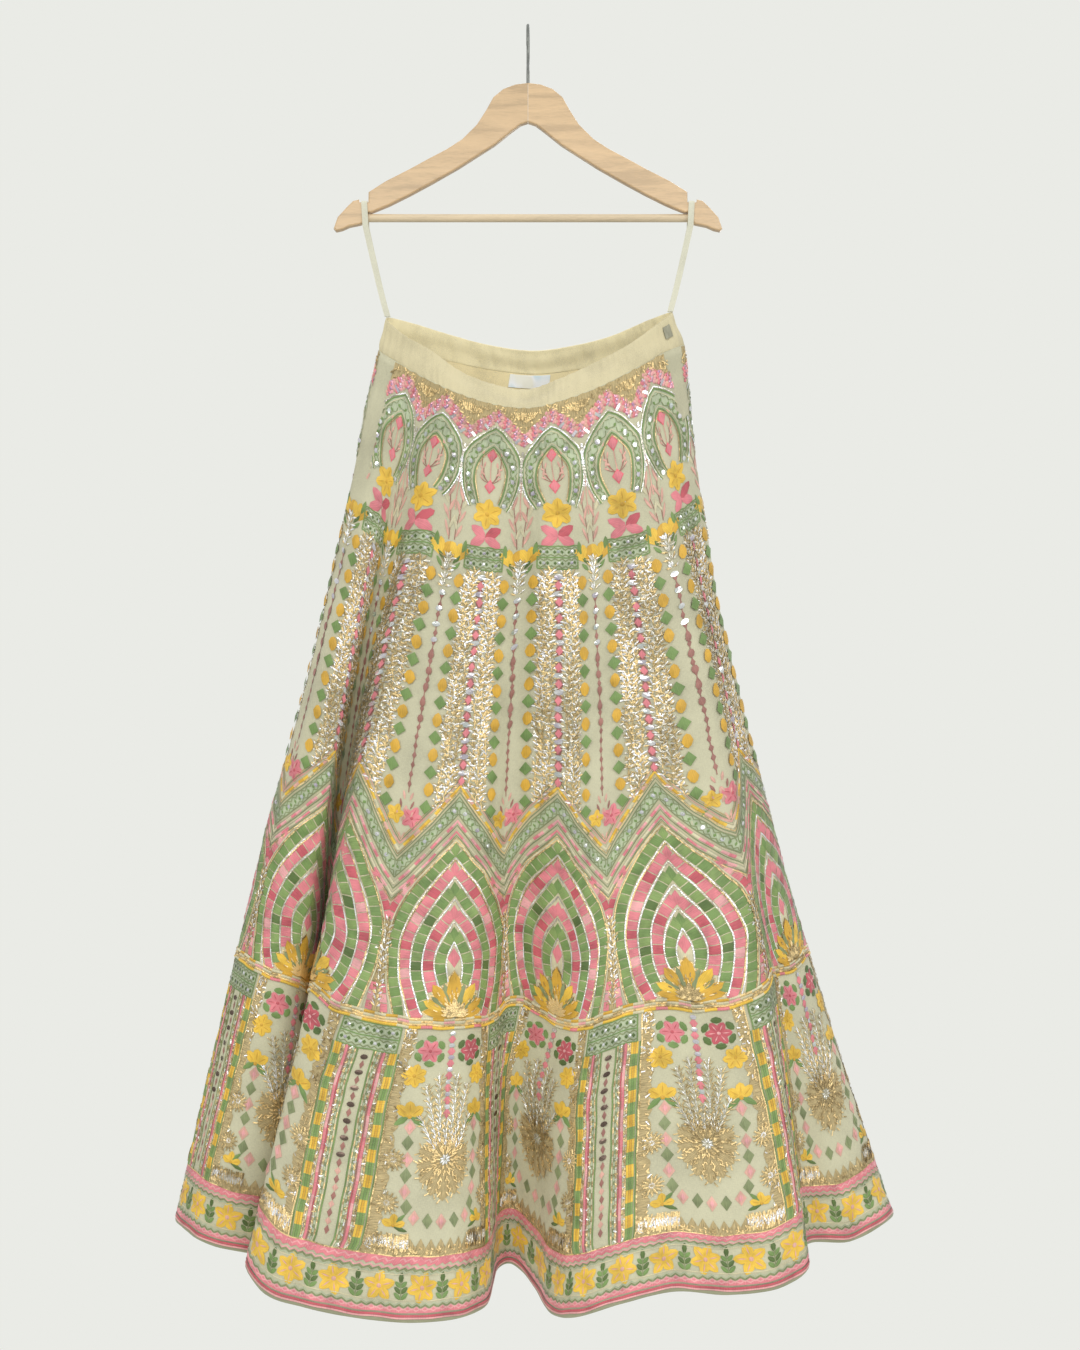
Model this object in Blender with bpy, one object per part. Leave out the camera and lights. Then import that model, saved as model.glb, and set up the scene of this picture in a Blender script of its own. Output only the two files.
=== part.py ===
"""A flared lehenga skirt hung by its two tape loops on a wooden coat hanger.

Metres, +Z up. The origin is the inner top of the hanger's hook, which rests on a rail.
The front faces -Y and the wearer's right-hand loop is at -X.

The cloth is read by two numbers: "repeat", the place round the skirt counted in repeats
of the embroidery (0 near the centre front, 12 all round), and "down", the place along the
cloth from the top of the waistband (0) to the hem (1).
"""

import math

import bmesh
import bpy
import numpy as np

MM = 0.001

# ---- Skirt ---------------------------------------------------------------
REPEATS = 12
CLOTH_LENGTH = 1.0
BAND_HEIGHT = 30 * MM
BAND_WALL = 2.4 * MM
UPPER_WALL = 1.6 * MM
TIER_WALL = 1.8 * MM
SEAM_GAP = 0.3 * MM
LEFT_SEAM = -3.85
RIGHT_SEAM = 2.80
MIDDLE_DOWN = 0.47
TIER_SEAM_DOWN = 0.700
BINDING_HEIGHT = 6 * MM
BINDING_WALL = 3.2 * MM
TRIM_WIDTH = 12 * MM
TRIM_WALL = 1.4 * MM
LINING_WALL = 1.0 * MM
LINING_ROWS = 3
LINING_INSET = 4
LABEL_SIZE = (44 * MM, 15 * MM)
LABEL_WALL = 0.6 * MM
LABEL_REPEAT = 5.58
LABEL_DROP = 1.5 * MM
LABEL_COLUMNS = 5
UPPER_ROWS, TIER_ROWS = 9, 5
NORMAL_STEP = 0.006
WIDE_STEP = 0.149
LEAST_STEP = 0.03
SHARP_ANGLE = 40

# Width of one repeat of the cloth: at the waist, and its growth and flare towards the hem.
REPEAT_AT_WAIST = 58.8 * MM
REPEAT_GROWTH = 80 * MM
REPEAT_FLARE = 95 * MM

# Waistband, mm. top and foot are the upper and lower edges of its outer face.
# repeat, top x, top y, top z, foot x, foot y, foot z
WAIST = (
    (-3.80, -156, 0, -319, -164, 0, -354),
    (-3.30, -139, -9, -337, -142, -14, -370),
    (-2.60, -107, -18, -357, -106, -32, -392),
    (-1.90, -71, -26, -383, -70, -44, -409),
    (-1.20, -32, -31, -398, -31, -51, -421),
    (-0.50, 2, -33, -402, 5, -54, -424),
    (0.15, 36, -32, -390, 37, -53, -416),
    (0.85, 74, -28, -372, 76, -46, -401),
    (1.60, 111, -20, -351, 117, -34, -379),
    (2.25, 141, -10, -328, 149, -15, -359),
    (2.75, 158, 0, -313, 172, 2, -348),
    (3.30, 135, 18, -318, 149, 26, -353),
    (4.05, 93, 32, -334, 99, 40, -362),
    (4.80, 50, 38, -344, 51, 48, -370),
    (5.55, 5, 41, -349, 5, 51, -374),
    (6.30, -45, 38, -343, -45, 48, -369),
    (7.05, -93, 32, -331, -99, 40, -359),
    (7.70, -133, 17, -321, -141, 24, -352),
)

# Folds that show, mm: left side, deep left fold, left bell, centre valley, right bell,
# right fold and right side. middle is the ring at MIDDLE_DOWN.
# repeat, middle x, middle y, hem x, hem y, hem z
FRONT_FOLDS = (
    (-3.75, -270, 40, -391, 52, -1319),
    (-3.50, -260, 14, -381, 10, -1323),
    (-3.25, -239, 0, -347, -10, -1337),
    (-3.02, -218, 4, -293, 4, -1352),
    (-2.84, -214, 22, -259, 34, -1367),
    (-2.60, -213, 46, -240, 66, -1383),
    (-2.42, -205, 50, -226, 62, -1386),
    (-2.22, -203, 30, -240, 24, -1377),
    (-2.04, -196, 4, -275, -18, -1364),
    (-1.90, -183, -12, -304, -44, -1346),
    (-1.72, -161, -26, -282, -84, -1367),
    (-1.50, -135, -38, -234, -104, -1378),
    (-1.25, -105, -46, -170, -124, -1384),
    (-1.00, -75, -46, -112, -130, -1386),
    (-0.75, -47, -36, -62, -108, -1385),
    (-0.55, -28, -26, -41, -66, -1381),
    (-0.40, -14, -20, -35, -20, -1363),
    (-0.25, 3, -26, -18, 0, -1360),
    (-0.08, 23, -38, 5, -28, -1375),
    (0.12, 46, -48, 22, -82, -1388),
    (0.35, 69, -54, 48, -122, -1383),
    (0.60, 94, -54, 98, -138, -1364),
    (0.85, 126, -54, 154, -132, -1353),
    (1.10, 159, -56, 212, -120, -1360),
    (1.33, 192, -48, 270, -106, -1355),
    (1.48, 214, -36, 299, -80, -1343),
    (1.60, 223, -22, 298, -46, -1332),
    (1.74, 229, -10, 310, -18, -1332),
    (1.95, 239, 4, 354, -8, -1333),
    (2.15, 246, 26, 393, 12, -1319),
    (2.35, 249, 52, 407, 52, -1315),
)

# Soft folds of the back, between the last and first rows of the front. The cloth swings to
# and fro by an angle that grows towards the hem, with each fold a little unlike the next.
BACK_FOLDS = 5
ROWS_PER_BACK_FOLD = 8
BACK_MIDDLE_SWING = 1.03
BACK_HEM_SWING = 1.38
BACK_PLACE_UNEVENNESS = 0.07
BACK_SWING_UNEVENNESS = 0.0875
BACK_PLAN_STEPS = 40
BACK_MIDDLE_DEPTH = 26
BACK_HEM_DEPTH = 62
BACK_BOW = 0.35
BACK_HEM_DROP = 24

# ---- Hanger --------------------------------------------------------------
ARM_THICKNESS = 12 * MM
ARM_EDGE_ROUND = 2.2 * MM
BAR_RADIUS = 4.5 * MM
BAR_HEIGHT = -209.5 * MM
BAR_SIDES = 16
HOOK_WIRE = 3.5 * MM
HOOK_INNER_RADIUS = 20 * MM
HOOK_TIP_ANGLE = 196
HOOK_NECK_ANGLE = -42
HOOK_FOOT = -61.9 * MM
HOOK_STRAIGHT_TOP = -52 * MM
HOOK_NECK_PULL = 9 * MM
HOOK_NECK_STEPS, HOOK_BEND_STEPS = 5, 20

# One arm, mm, from the centre out: the upper edge, then the lower edge back to the centre.
ARM_UPPER = (
    (0, -61.9), (14, -63.6), (27, -68.5), (38, -77.5), (46, -92.0), (56, -107.5),
    (72, -123.5), (89, -134.5), (110, -145.5), (130, -156.5), (156, -169.7), (175, -181.8),
)
NOTCH_INNER, NOTCH_OUTER, NOTCH_FLOOR = 175.2, 185.0, -193.0
ARM_LOBE = ((185.4, -189.8), (192, -191.5), (199, -198.3), (209, -209.3), (213.4, -222.0))
ARM_LOWER = (
    (211, -224.6), (204, -223.0), (196, -219.4), (184, -217.0), (180.8, -215.4),
    (180.8, -203.6), (172, -204.2), (152, -196.0), (128, -184.0), (104, -171.0),
    (76, -155.0), (58, -143.5), (36, -129.5), (18, -115.0), (8, -107.6), (0, -105.0),
)

# ---- Loops ---------------------------------------------------------------
LOOP_WIDTH = 6.5 * MM
LOOP_TAPE = 1.2 * MM
LOOP_NOTCH_X = 179.6 * MM
LOOP_CLEAR_DOWN = -219 * MM
LOOP_FOOT_GAP = 0.6 * MM
LOOP_CORNER = 1.2 * MM
LOOP_FRONT_STEPS = 5
LOOP_RIM_SPAN = 0.25
LOOP_UPRIGHT_TOP = 20 * MM
LOOP_SAG = 0.92
# Each loop's corner of the band, as its repeat, and the x of its foot, mm.
LOOP_FEET = {"loop_left": (-3.80, -154.5), "loop_right": (2.75, 156.5)}

# ---- Waist hook ----------------------------------------------------------
WAIST_HOOK_REPEAT = 2.42
WAIST_HOOK_DOWN = 0.013
WAIST_HOOK_SIZE = (9 * MM, 12 * MM)
WAIST_HOOK_WALL = 1.0 * MM

# Colours, linear RGB, with roughness and metallic value.
FINISHES = {
    "embroidered_cloth": ((0.52, 0.47, 0.30), 0.75, 0.0),
    "band_cloth": ((0.62, 0.55, 0.36), 0.85, 0.0),
    "couched_cord": ((0.72, 0.55, 0.18), 0.55, 0.0),
    "rolled_edge": ((0.34, 0.38, 0.27), 0.8, 0.0),
    "lining_cloth": ((0.66, 0.63, 0.48), 0.8, 0.0),
    "label_cloth": ((0.55, 0.65, 0.66), 0.5, 0.0),
    "tape": ((0.80, 0.76, 0.55), 0.8, 0.0),
    "beech": ((0.66, 0.43, 0.23), 0.45, 0.0),
    "bar_wood": ((0.62, 0.34, 0.13), 0.5, 0.0),
    "chrome": ((0.75, 0.75, 0.75), 0.15, 1.0),
}


def clear_scene():
    for thing in list(bpy.data.objects):
        bpy.data.objects.remove(thing, do_unlink=True)


def finish(name):
    """The Principled material called name, made on its first use."""
    if name in bpy.data.materials:
        return bpy.data.materials[name]
    colour, roughness, metallic = FINISHES[name]
    made = bpy.data.materials.new(name)
    made.use_nodes = True
    shader = made.node_tree.nodes["Principled BSDF"]
    shader.inputs["Base Color"].default_value = (*colour, 1.0)
    shader.inputs["Roughness"].default_value = roughness
    shader.inputs["Metallic"].default_value = metallic
    return made


def place(name, body, finish_name, smooth=True):
    """Turns a bmesh into the object called name, with its faces pointing out."""
    bmesh.ops.recalc_face_normals(body, faces=body.faces)
    mesh = bpy.data.meshes.new(name)
    body.to_mesh(mesh)
    body.free()
    mesh.materials.append(finish(finish_name))
    if smooth:
        mesh.shade_smooth()
        mesh.set_sharp_from_angle(angle=math.radians(SHARP_ANGLE))
    thing = bpy.data.objects.new(name, mesh)
    bpy.context.collection.objects.link(thing)
    return thing


# ---- The cloth surface ---------------------------------------------------
class Ring:
    """A smooth closed curve round the skirt through rows of (repeat, x, y, z) in metres."""

    def __init__(self, rows):
        rows = np.array(rows, float)
        before, after = rows[-3:].copy(), rows[:3].copy()
        before[:, 0] -= REPEATS
        after[:, 0] += REPEATS
        rows = np.vstack([before, rows, after])
        self.repeat, self.point = rows[:, 0], rows[:, 1:]
        step = np.diff(self.repeat)[:, None]
        slope = np.diff(self.point, axis=0) / step
        middle = (slope[:-1] * step[1:] + slope[1:] * step[:-1]) / (step[1:] + step[:-1])
        self.slope = np.vstack([slope[:1], middle, slope[-1:]])

    def at(self, repeat):
        first = self.repeat[3]
        repeat = (np.asarray(repeat, float) - first) % REPEATS + first
        index = np.searchsorted(self.repeat, repeat, side="right") - 1
        step = (self.repeat[index + 1] - self.repeat[index])[..., None]
        part = (repeat - self.repeat[index])[..., None] / step
        start, end = self.point[index], self.point[index + 1]
        leave, arrive = self.slope[index] * step, self.slope[index + 1] * step
        return (
            start * (1 + 2 * part) * (1 - part) ** 2
            + leave * part * (1 - part) ** 2
            + end * part**2 * (3 - 2 * part)
            + arrive * part**2 * (part - 1)
        )


def back_plan(start, end, swing, depth):
    """Plan points of the back folds from start to end (x, y), at equal steps of cloth."""
    fine = BACK_PLAN_STEPS
    count = BACK_FOLDS * ROWS_PER_BACK_FOLD
    part = (np.arange(count * fine) + 0.5) / (count * fine)
    turn = 2 * math.pi * (BACK_FOLDS * part + BACK_PLACE_UNEVENNESS * np.sin(4 * math.pi * part))
    heading = swing * (1 - BACK_SWING_UNEVENNESS * np.sin(3 * math.pi * part)) * np.sin(turn)
    run = np.cumsum(np.cos(heading))[fine - 1::fine]
    side = np.cumsum(np.sin(heading))[fine - 1::fine]
    scale = (end[0] - start[0]) / run[-1]
    along = np.arange(1, count + 1) / count
    side = side - side[-1] * along
    bow = depth * np.abs(np.sin(math.pi * along)) ** BACK_BOW
    y = start[1] + (end[1] - start[1]) * along + side * abs(scale) + bow
    return start[0] + run * scale, y


def back_folds():
    """Rows like FRONT_FOLDS for the back."""
    start, end = FRONT_FOLDS[-1], FRONT_FOLDS[0]
    middle_x, middle_y = back_plan(start[1:3], end[1:3], BACK_MIDDLE_SWING, BACK_MIDDLE_DEPTH)
    hem_x, hem_y = back_plan(start[3:5], end[3:5], BACK_HEM_SWING, BACK_HEM_DEPTH)
    count = BACK_FOLDS * ROWS_PER_BACK_FOLD
    rows = []
    for i in range(count - 1):
        part = (i + 1) / count
        rows.append((
            start[0] + (end[0] + REPEATS - start[0]) * part,
            middle_x[i], middle_y[i], hem_x[i], hem_y[i],
            start[5] + (end[5] - start[5]) * part - BACK_HEM_DROP * math.sin(math.pi * part),
        ))
    return rows


FOLDS = [*FRONT_FOLDS, *back_folds()]
BAND_DOWN = BAND_HEIGHT / CLOTH_LENGTH
TOP_RING = Ring([(r[0], r[1] * MM, r[2] * MM, r[3] * MM) for r in WAIST])
FOOT_RING = Ring([(r[0], r[4] * MM, r[5] * MM, r[6] * MM) for r in WAIST])
HEM_RING = Ring([(r[0], r[3] * MM, r[4] * MM, r[5] * MM) for r in FOLDS])
MIDDLE_PART = (MIDDLE_DOWN - BAND_DOWN) / (1 - BAND_DOWN)


def middle_rows():
    """The middle ring: its plan from the folds, its height on the line from foot to hem."""
    rows = []
    for row in FOLDS:
        foot_z, hem_z = FOOT_RING.at(row[0])[2], row[5] * MM
        rows.append((row[0], row[1] * MM, row[2] * MM, foot_z + MIDDLE_PART * (hem_z - foot_z)))
    return rows


MIDDLE_RING = Ring(middle_rows())


def repeat_width(down):
    return REPEAT_AT_WAIST + REPEAT_GROWTH * down + REPEAT_FLARE * down**2


def cloth(repeat, down):
    """Points of the cloth's outer face, for arrays of repeat and down of one shape."""
    repeat, down = np.broadcast_arrays(repeat, down)
    foot = FOOT_RING.at(repeat)
    on_band = (down / BAND_DOWN)[..., None]
    band = TOP_RING.at(repeat) * (1 - on_band) + foot * on_band
    part = ((down - BAND_DOWN) / (1 - BAND_DOWN))[..., None]
    skirt = (
        foot * (part - MIDDLE_PART) * (part - 1) / MIDDLE_PART
        + MIDDLE_RING.at(repeat) * part * (part - 1) / (MIDDLE_PART * (MIDDLE_PART - 1))
        + HEM_RING.at(repeat) * part * (part - MIDDLE_PART) / (1 - MIDDLE_PART)
    )
    return np.where(down[..., None] < BAND_DOWN, band, skirt)


def outward(repeat, down):
    """Unit normals of the cloth, pointing away from the wearer."""
    along = cloth(repeat + NORMAL_STEP, down) - cloth(repeat - NORMAL_STEP, down)
    fall = cloth(repeat, down + NORMAL_STEP) - cloth(repeat, down - NORMAL_STEP)
    normal = np.cross(fall, along)
    return normal / np.linalg.norm(normal, axis=-1, keepdims=True)


def columns_between(start, end):
    """Places round the skirt from start to end: the fold rows, and halfway over wide steps."""
    rows = sorted(row[0] + turn * REPEATS for turn in (-1, 0, 1) for row in FOLDS)
    halves = [(a + b) / 2 for a, b in zip(rows, rows[1:]) if b - a > WIDE_STEP]
    inside = [r for r in sorted(rows + halves) if start + LEAST_STEP < r < end - LEAST_STEP]
    return np.array([start, *inside, end])


def wall(name, finish_name, columns, downs, outer=0.0, thickness=UPPER_WALL):
    """A closed cloth wall over a patch of the skirt.

    outer is how far its outer face stands off the cloth's outer face. Its two ends keep half
    a seam gap from the columns they end on.
    """
    columns, downs = np.array(columns), np.array(downs)
    repeat = np.tile(columns, (len(downs), 1))
    inset = SEAM_GAP / 2 / repeat_width(downs)
    repeat[:, 0] += inset
    repeat[:, -1] -= inset
    down = np.tile(downs[:, None], (1, len(columns)))
    face, normal = cloth(repeat, down), outward(repeat, down)
    body = bmesh.new()
    sheets = []
    for offset in (outer, outer - thickness):
        points = face + normal * offset
        sheets.append([[body.verts.new(p) for p in row] for row in points])
    front, back = sheets
    rows, count = len(downs), len(columns)
    for i in range(rows - 1):
        for j in range(count - 1):
            body.faces.new((front[i][j], front[i + 1][j], front[i + 1][j + 1], front[i][j + 1]))
            body.faces.new((back[i][j], back[i][j + 1], back[i + 1][j + 1], back[i + 1][j]))
    for j in range(count - 1):
        body.faces.new((front[0][j], front[0][j + 1], back[0][j + 1], back[0][j]))
        body.faces.new((front[-1][j], back[-1][j], back[-1][j + 1], front[-1][j + 1]))
    for i in range(rows - 1):
        body.faces.new((front[i][0], back[i][0], back[i + 1][0], front[i + 1][0]))
        body.faces.new((front[i][-1], front[i + 1][-1], back[i + 1][-1], back[i][-1]))
    return place(name, body, finish_name)


SIDES = (("front", LEFT_SEAM, RIGHT_SEAM), ("back", RIGHT_SEAM, LEFT_SEAM + REPEATS))
BINDING_DOWN = 1 - BINDING_HEIGHT / CLOTH_LENGTH
HALF_GAP = SEAM_GAP / 2 / CLOTH_LENGTH
UNDER_BAND = 0.012
TRIM_HALF = TRIM_WIDTH / 2 / CLOTH_LENGTH
UPPER_DOWNS = np.array([
    BAND_DOWN + HALF_GAP,
    *np.linspace(BAND_DOWN + UNDER_BAND, TIER_SEAM_DOWN - TRIM_HALF, UPPER_ROWS),
    TIER_SEAM_DOWN - HALF_GAP,
])
TIER_DOWNS = np.array([
    TIER_SEAM_DOWN + HALF_GAP,
    *np.linspace(TIER_SEAM_DOWN + TRIM_HALF, BINDING_DOWN - HALF_GAP, TIER_ROWS),
])


def skirt_panels():
    for side, start, end in SIDES:
        columns = columns_between(start, end)
        wall(f"upper_{side}", "embroidered_cloth", columns, UPPER_DOWNS)
        wall(f"tier_{side}", "embroidered_cloth", columns, TIER_DOWNS, thickness=TIER_WALL)


def waistband():
    for side, start, end in SIDES:
        wall(f"waistband_{side}", "band_cloth", columns_between(start, end),
             np.array([0, BAND_DOWN / 2, BAND_DOWN - HALF_GAP]), thickness=BAND_WALL)


def trim_and_binding():
    proud = (BINDING_WALL - TIER_WALL) / 2
    for side, start, end in SIDES:
        columns = columns_between(start, end)
        wall(f"tier_trim_{side}", "couched_cord", columns,
             np.array([TIER_SEAM_DOWN - TRIM_HALF, TIER_SEAM_DOWN + TRIM_HALF]),
             outer=SEAM_GAP + TRIM_WALL, thickness=TRIM_WALL)
        wall(f"hem_binding_{side}", "rolled_edge", columns,
             np.array([BINDING_DOWN + HALF_GAP, 1.0]), outer=proud, thickness=BINDING_WALL)


def back_lining():
    """The top of the lining, where it shows inside the back of the waist."""
    outer = -(UPPER_WALL + SEAM_GAP)
    columns = columns_between(RIGHT_SEAM, LEFT_SEAM + REPEATS)[LINING_INSET:-LINING_INSET]
    wall("back_lining", "lining_cloth", columns, UPPER_DOWNS[: LINING_ROWS + 1],
         outer=outer, thickness=LINING_WALL)
    width, height = LABEL_SIZE
    half = width / repeat_width(BAND_DOWN) / 2
    top = BAND_DOWN + LABEL_DROP
    wall("label_blank", "label_cloth",
         np.linspace(LABEL_REPEAT - half, LABEL_REPEAT + half, LABEL_COLUMNS),
         np.array([top, top + height]), outer=outer - LINING_WALL - SEAM_GAP,
         thickness=LABEL_WALL)


def waist_hook():
    """The flat metal hook that fastens the band at the right-hand side opening."""
    width, height = WAIST_HOOK_SIZE
    half = width / REPEAT_AT_WAIST / 2
    wall("waist_hook", "chrome",
         np.array([WAIST_HOOK_REPEAT - half, WAIST_HOOK_REPEAT + half]),
         np.array([WAIST_HOOK_DOWN - height / 2, WAIST_HOOK_DOWN + height / 2]),
         outer=SEAM_GAP + WAIST_HOOK_WALL, thickness=WAIST_HOOK_WALL)


# ---- Hanger --------------------------------------------------------------
def hanger_arm(name, side):
    """One half of the glued wooden top, with its loop notch and the seat of the bar."""
    notch = ((NOTCH_INNER, NOTCH_FLOOR), (NOTCH_OUTER, NOTCH_FLOOR))
    outline = [*ARM_UPPER, *notch, *ARM_LOBE, *ARM_LOWER]
    body = bmesh.new()
    corners = []
    for out, up in outline:
        x = max(out * MM, SEAM_GAP / 2) * side
        corners.append(body.verts.new((x, -ARM_THICKNESS / 2, up * MM)))
    front = body.faces.new(corners)
    pushed = bmesh.ops.extrude_face_region(body, geom=[front])["geom"]
    moved = [item for item in pushed if isinstance(item, bmesh.types.BMVert)]
    bmesh.ops.translate(body, verts=moved, vec=(0, ARM_THICKNESS, 0))
    rims = [
        edge for edge in body.edges
        if abs(edge.verts[0].co.y - edge.verts[1].co.y) < SEAM_GAP
        and not all(abs(v.co.x) < SEAM_GAP for v in edge.verts)
    ]
    bmesh.ops.bevel(body, geom=rims, offset=ARM_EDGE_ROUND, segments=2, profile=0.5,
                    affect="EDGES", material=-1, clamp_overlap=True)
    place(name, body, "beech")


def hanger_bar():
    """The trouser bar, a round rod seated against the inner faces of both arm ends."""
    reach = ARM_LOWER[4][0] * MM - SEAM_GAP
    body = bmesh.new()
    bmesh.ops.create_cone(body, cap_ends=True, segments=BAR_SIDES, radius1=BAR_RADIUS,
                          radius2=BAR_RADIUS, depth=2 * reach)
    for vert in body.verts:
        x, y, z = vert.co
        vert.co = (z, y, BAR_HEIGHT - x)
    place("hanger_bar", body, "bar_wood")


def hook_route():
    """Centre line of the hook wire in the YZ plane, from the wood to the tip."""
    radius = HOOK_INNER_RADIUS + HOOK_WIRE / 2
    centre_z = -HOOK_INNER_RADIUS
    route = [(0.0, HOOK_FOOT + SEAM_GAP), (0.0, HOOK_STRAIGHT_TOP)]
    neck = math.radians(HOOK_NECK_ANGLE)
    join = (radius * math.cos(neck), centre_z + radius * math.sin(neck))
    lead = (-math.sin(neck), math.cos(neck))
    start, pull_start = (0.0, HOOK_STRAIGHT_TOP), (0.0, HOOK_STRAIGHT_TOP + HOOK_NECK_PULL)
    pull_end = (join[0] - lead[0] * HOOK_NECK_PULL, join[1] - lead[1] * HOOK_NECK_PULL)
    for step in range(1, HOOK_NECK_STEPS):
        t = step / HOOK_NECK_STEPS
        weights = ((1 - t) ** 3, 3 * t * (1 - t) ** 2, 3 * t * t * (1 - t), t**3)
        ends = (start, pull_start, pull_end, join)
        route.append(tuple(sum(w * e[i] for w, e in zip(weights, ends)) for i in (0, 1)))
    for step in range(HOOK_BEND_STEPS + 1):
        part = step / HOOK_BEND_STEPS
        angle = math.radians(HOOK_NECK_ANGLE + (HOOK_TIP_ANGLE - HOOK_NECK_ANGLE) * part)
        route.append((radius * math.cos(angle), centre_z + radius * math.sin(angle)))
    return route


def hanger_hook():
    curve = bpy.data.curves.new("hanger_hook", "CURVE")
    curve.dimensions = "3D"
    curve.bevel_depth = HOOK_WIRE / 2
    curve.bevel_resolution = 2
    curve.use_fill_caps = True
    route = hook_route()
    spline = curve.splines.new("POLY")
    spline.points.add(len(route) - 1)
    for point, (y, z) in zip(spline.points, route):
        point.co = (0, y, z, 1)
    curve.materials.append(finish("chrome"))
    thing = bpy.data.objects.new("hanger_hook", curve)
    bpy.context.collection.objects.link(thing)


def loop_route(foot_z):
    """The tape's inner face in the YZ plane, up the front, over the notch, down the back."""
    near = ARM_THICKNESS / 2 + SEAM_GAP
    top = NOTCH_FLOOR * MM + SEAM_GAP
    front = []
    for step in range(LOOP_FRONT_STEPS + 1):
        part = step / LOOP_FRONT_STEPS
        y = LOOP_FOOT_GAP / 2 + (near - LOOP_FOOT_GAP / 2) * part
        front.append((-y, foot_z + (LOOP_CLEAR_DOWN - foot_z) * part))
    front += [(-near, top - LOOP_CORNER), (-near + LOOP_CORNER, top)]
    return front + [(-y, z) for y, z in reversed(front)]


def loop_offset(route):
    """The route moved out by the tape's thickness, square to its run."""
    moved = []
    for i, (y, z) in enumerate(route):
        before, after = route[max(i - 1, 0)], route[min(i + 1, len(route) - 1)]
        dy, dz = after[0] - before[0], after[1] - before[1]
        size = math.hypot(dy, dz)
        moved.append((y - dz / size * LOOP_TAPE, z + dy / size * LOOP_TAPE))
    return moved


def tape_loop(name):
    """A hanging loop: one tape whose two ends stand together on the corner of the band."""
    corner, foot_x = LOOP_FEET[name]
    foot_x *= MM
    rim = TOP_RING.at(corner + np.linspace(-LOOP_RIM_SPAN, LOOP_RIM_SPAN, 11))
    foot_z = rim[:, 2].max() + SEAM_GAP
    notch_x = math.copysign(LOOP_NOTCH_X, foot_x)
    lean_end = NOTCH_FLOOR * MM - LOOP_UPRIGHT_TOP
    inner = loop_route(foot_z)
    outer = loop_offset(inner)
    body = bmesh.new()
    sections = []
    for (inner_y, inner_z), (outer_y, outer_z) in zip(inner, outer):
        part = min(1.0, (inner_z - foot_z) / (lean_end - foot_z))
        x = foot_x + (notch_x - foot_x) * part**LOOP_SAG
        half = LOOP_WIDTH / 2
        corners = ((x - half, inner_y, inner_z), (x + half, inner_y, inner_z),
                   (x + half, outer_y, outer_z), (x - half, outer_y, outer_z))
        sections.append([body.verts.new(c) for c in corners])
    for one, two in zip(sections, sections[1:]):
        for k in range(4):
            n = (k + 1) % 4
            body.faces.new((one[k], one[n], two[n], two[k]))
    body.faces.new(sections[0])
    body.faces.new(sections[-1])
    place(name, body, "tape")


def build():
    clear_scene()
    waistband()
    skirt_panels()
    trim_and_binding()
    back_lining()
    waist_hook()
    hanger_arm("hanger_arm_left", -1)
    hanger_arm("hanger_arm_right", 1)
    hanger_bar()
    hanger_hook()
    for name in LOOP_FEET:
        tape_loop(name)


build()
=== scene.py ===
"""Looks for a lehenga skirt hung by its tape loops on a wooden coat hanger.

Metres, +Z up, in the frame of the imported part. The cloth is read by two numbers: "repeat",
the place round the skirt in repeats of the embroidery (0 near the centre front, 12 all
round), and "down", the place along the cloth from the top of the waistband to the hem.
"""

import functools
import math

import bmesh
import bpy
import numpy as np
from bpy.props import FloatProperty, FloatVectorProperty, IntProperty, PointerProperty
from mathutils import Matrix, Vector


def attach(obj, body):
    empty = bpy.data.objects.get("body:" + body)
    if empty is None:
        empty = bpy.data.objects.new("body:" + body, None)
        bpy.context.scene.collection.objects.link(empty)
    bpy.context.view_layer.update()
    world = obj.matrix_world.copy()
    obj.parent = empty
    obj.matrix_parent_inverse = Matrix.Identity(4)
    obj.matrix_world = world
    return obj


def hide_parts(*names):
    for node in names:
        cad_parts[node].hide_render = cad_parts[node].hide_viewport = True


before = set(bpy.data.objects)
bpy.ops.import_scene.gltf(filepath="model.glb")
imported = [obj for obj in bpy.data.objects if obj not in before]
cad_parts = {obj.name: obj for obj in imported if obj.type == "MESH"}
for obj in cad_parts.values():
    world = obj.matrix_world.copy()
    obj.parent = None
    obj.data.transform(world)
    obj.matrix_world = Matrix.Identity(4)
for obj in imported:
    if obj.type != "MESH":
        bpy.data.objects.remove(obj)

bl_info = {
    "name": "Lehenga Skirt",
    "version": (1, 0, 0),
    "blender": (4, 5, 0),
    "location": "3D View > Sidebar > Skirt",
    "description": "Cloth, embroidery and hanger finishes for a lehenga skirt on a hanger",
    "category": "Add Mesh",
}

MM = 0.001
PI = math.pi
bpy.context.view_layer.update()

# ---- Cloth form, as the part's source has it -------------------------------
REPEATS = 12
CLOTH_LENGTH = 1.0
BAND_DOWN = 0.03
MIDDLE_DOWN = 0.47
TIER_SEAM_DOWN = 0.700
BINDING_DOWN = 0.994
LEFT_SEAM, RIGHT_SEAM = -3.85, 2.80
REPEAT_AT_WAIST, REPEAT_GROWTH, REPEAT_FLARE = 58.8 * MM, 80 * MM, 95 * MM
FIRST_REPEAT = math.floor(LEFT_SEAM)

# Steps for normals and along routes, cells of the cloth, puckers, and the gap at a seam.
NORMAL_STEP = 0.006
ROUTE_STEP, ROUTE_POINTS = 1e-4, 25
CLOTH_CELL = 8 * MM
PUCKER_DEPTH, PUCKER_FADE = 0.45 * MM, 0.05
SEAM_GAP = 0.15 * MM

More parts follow.
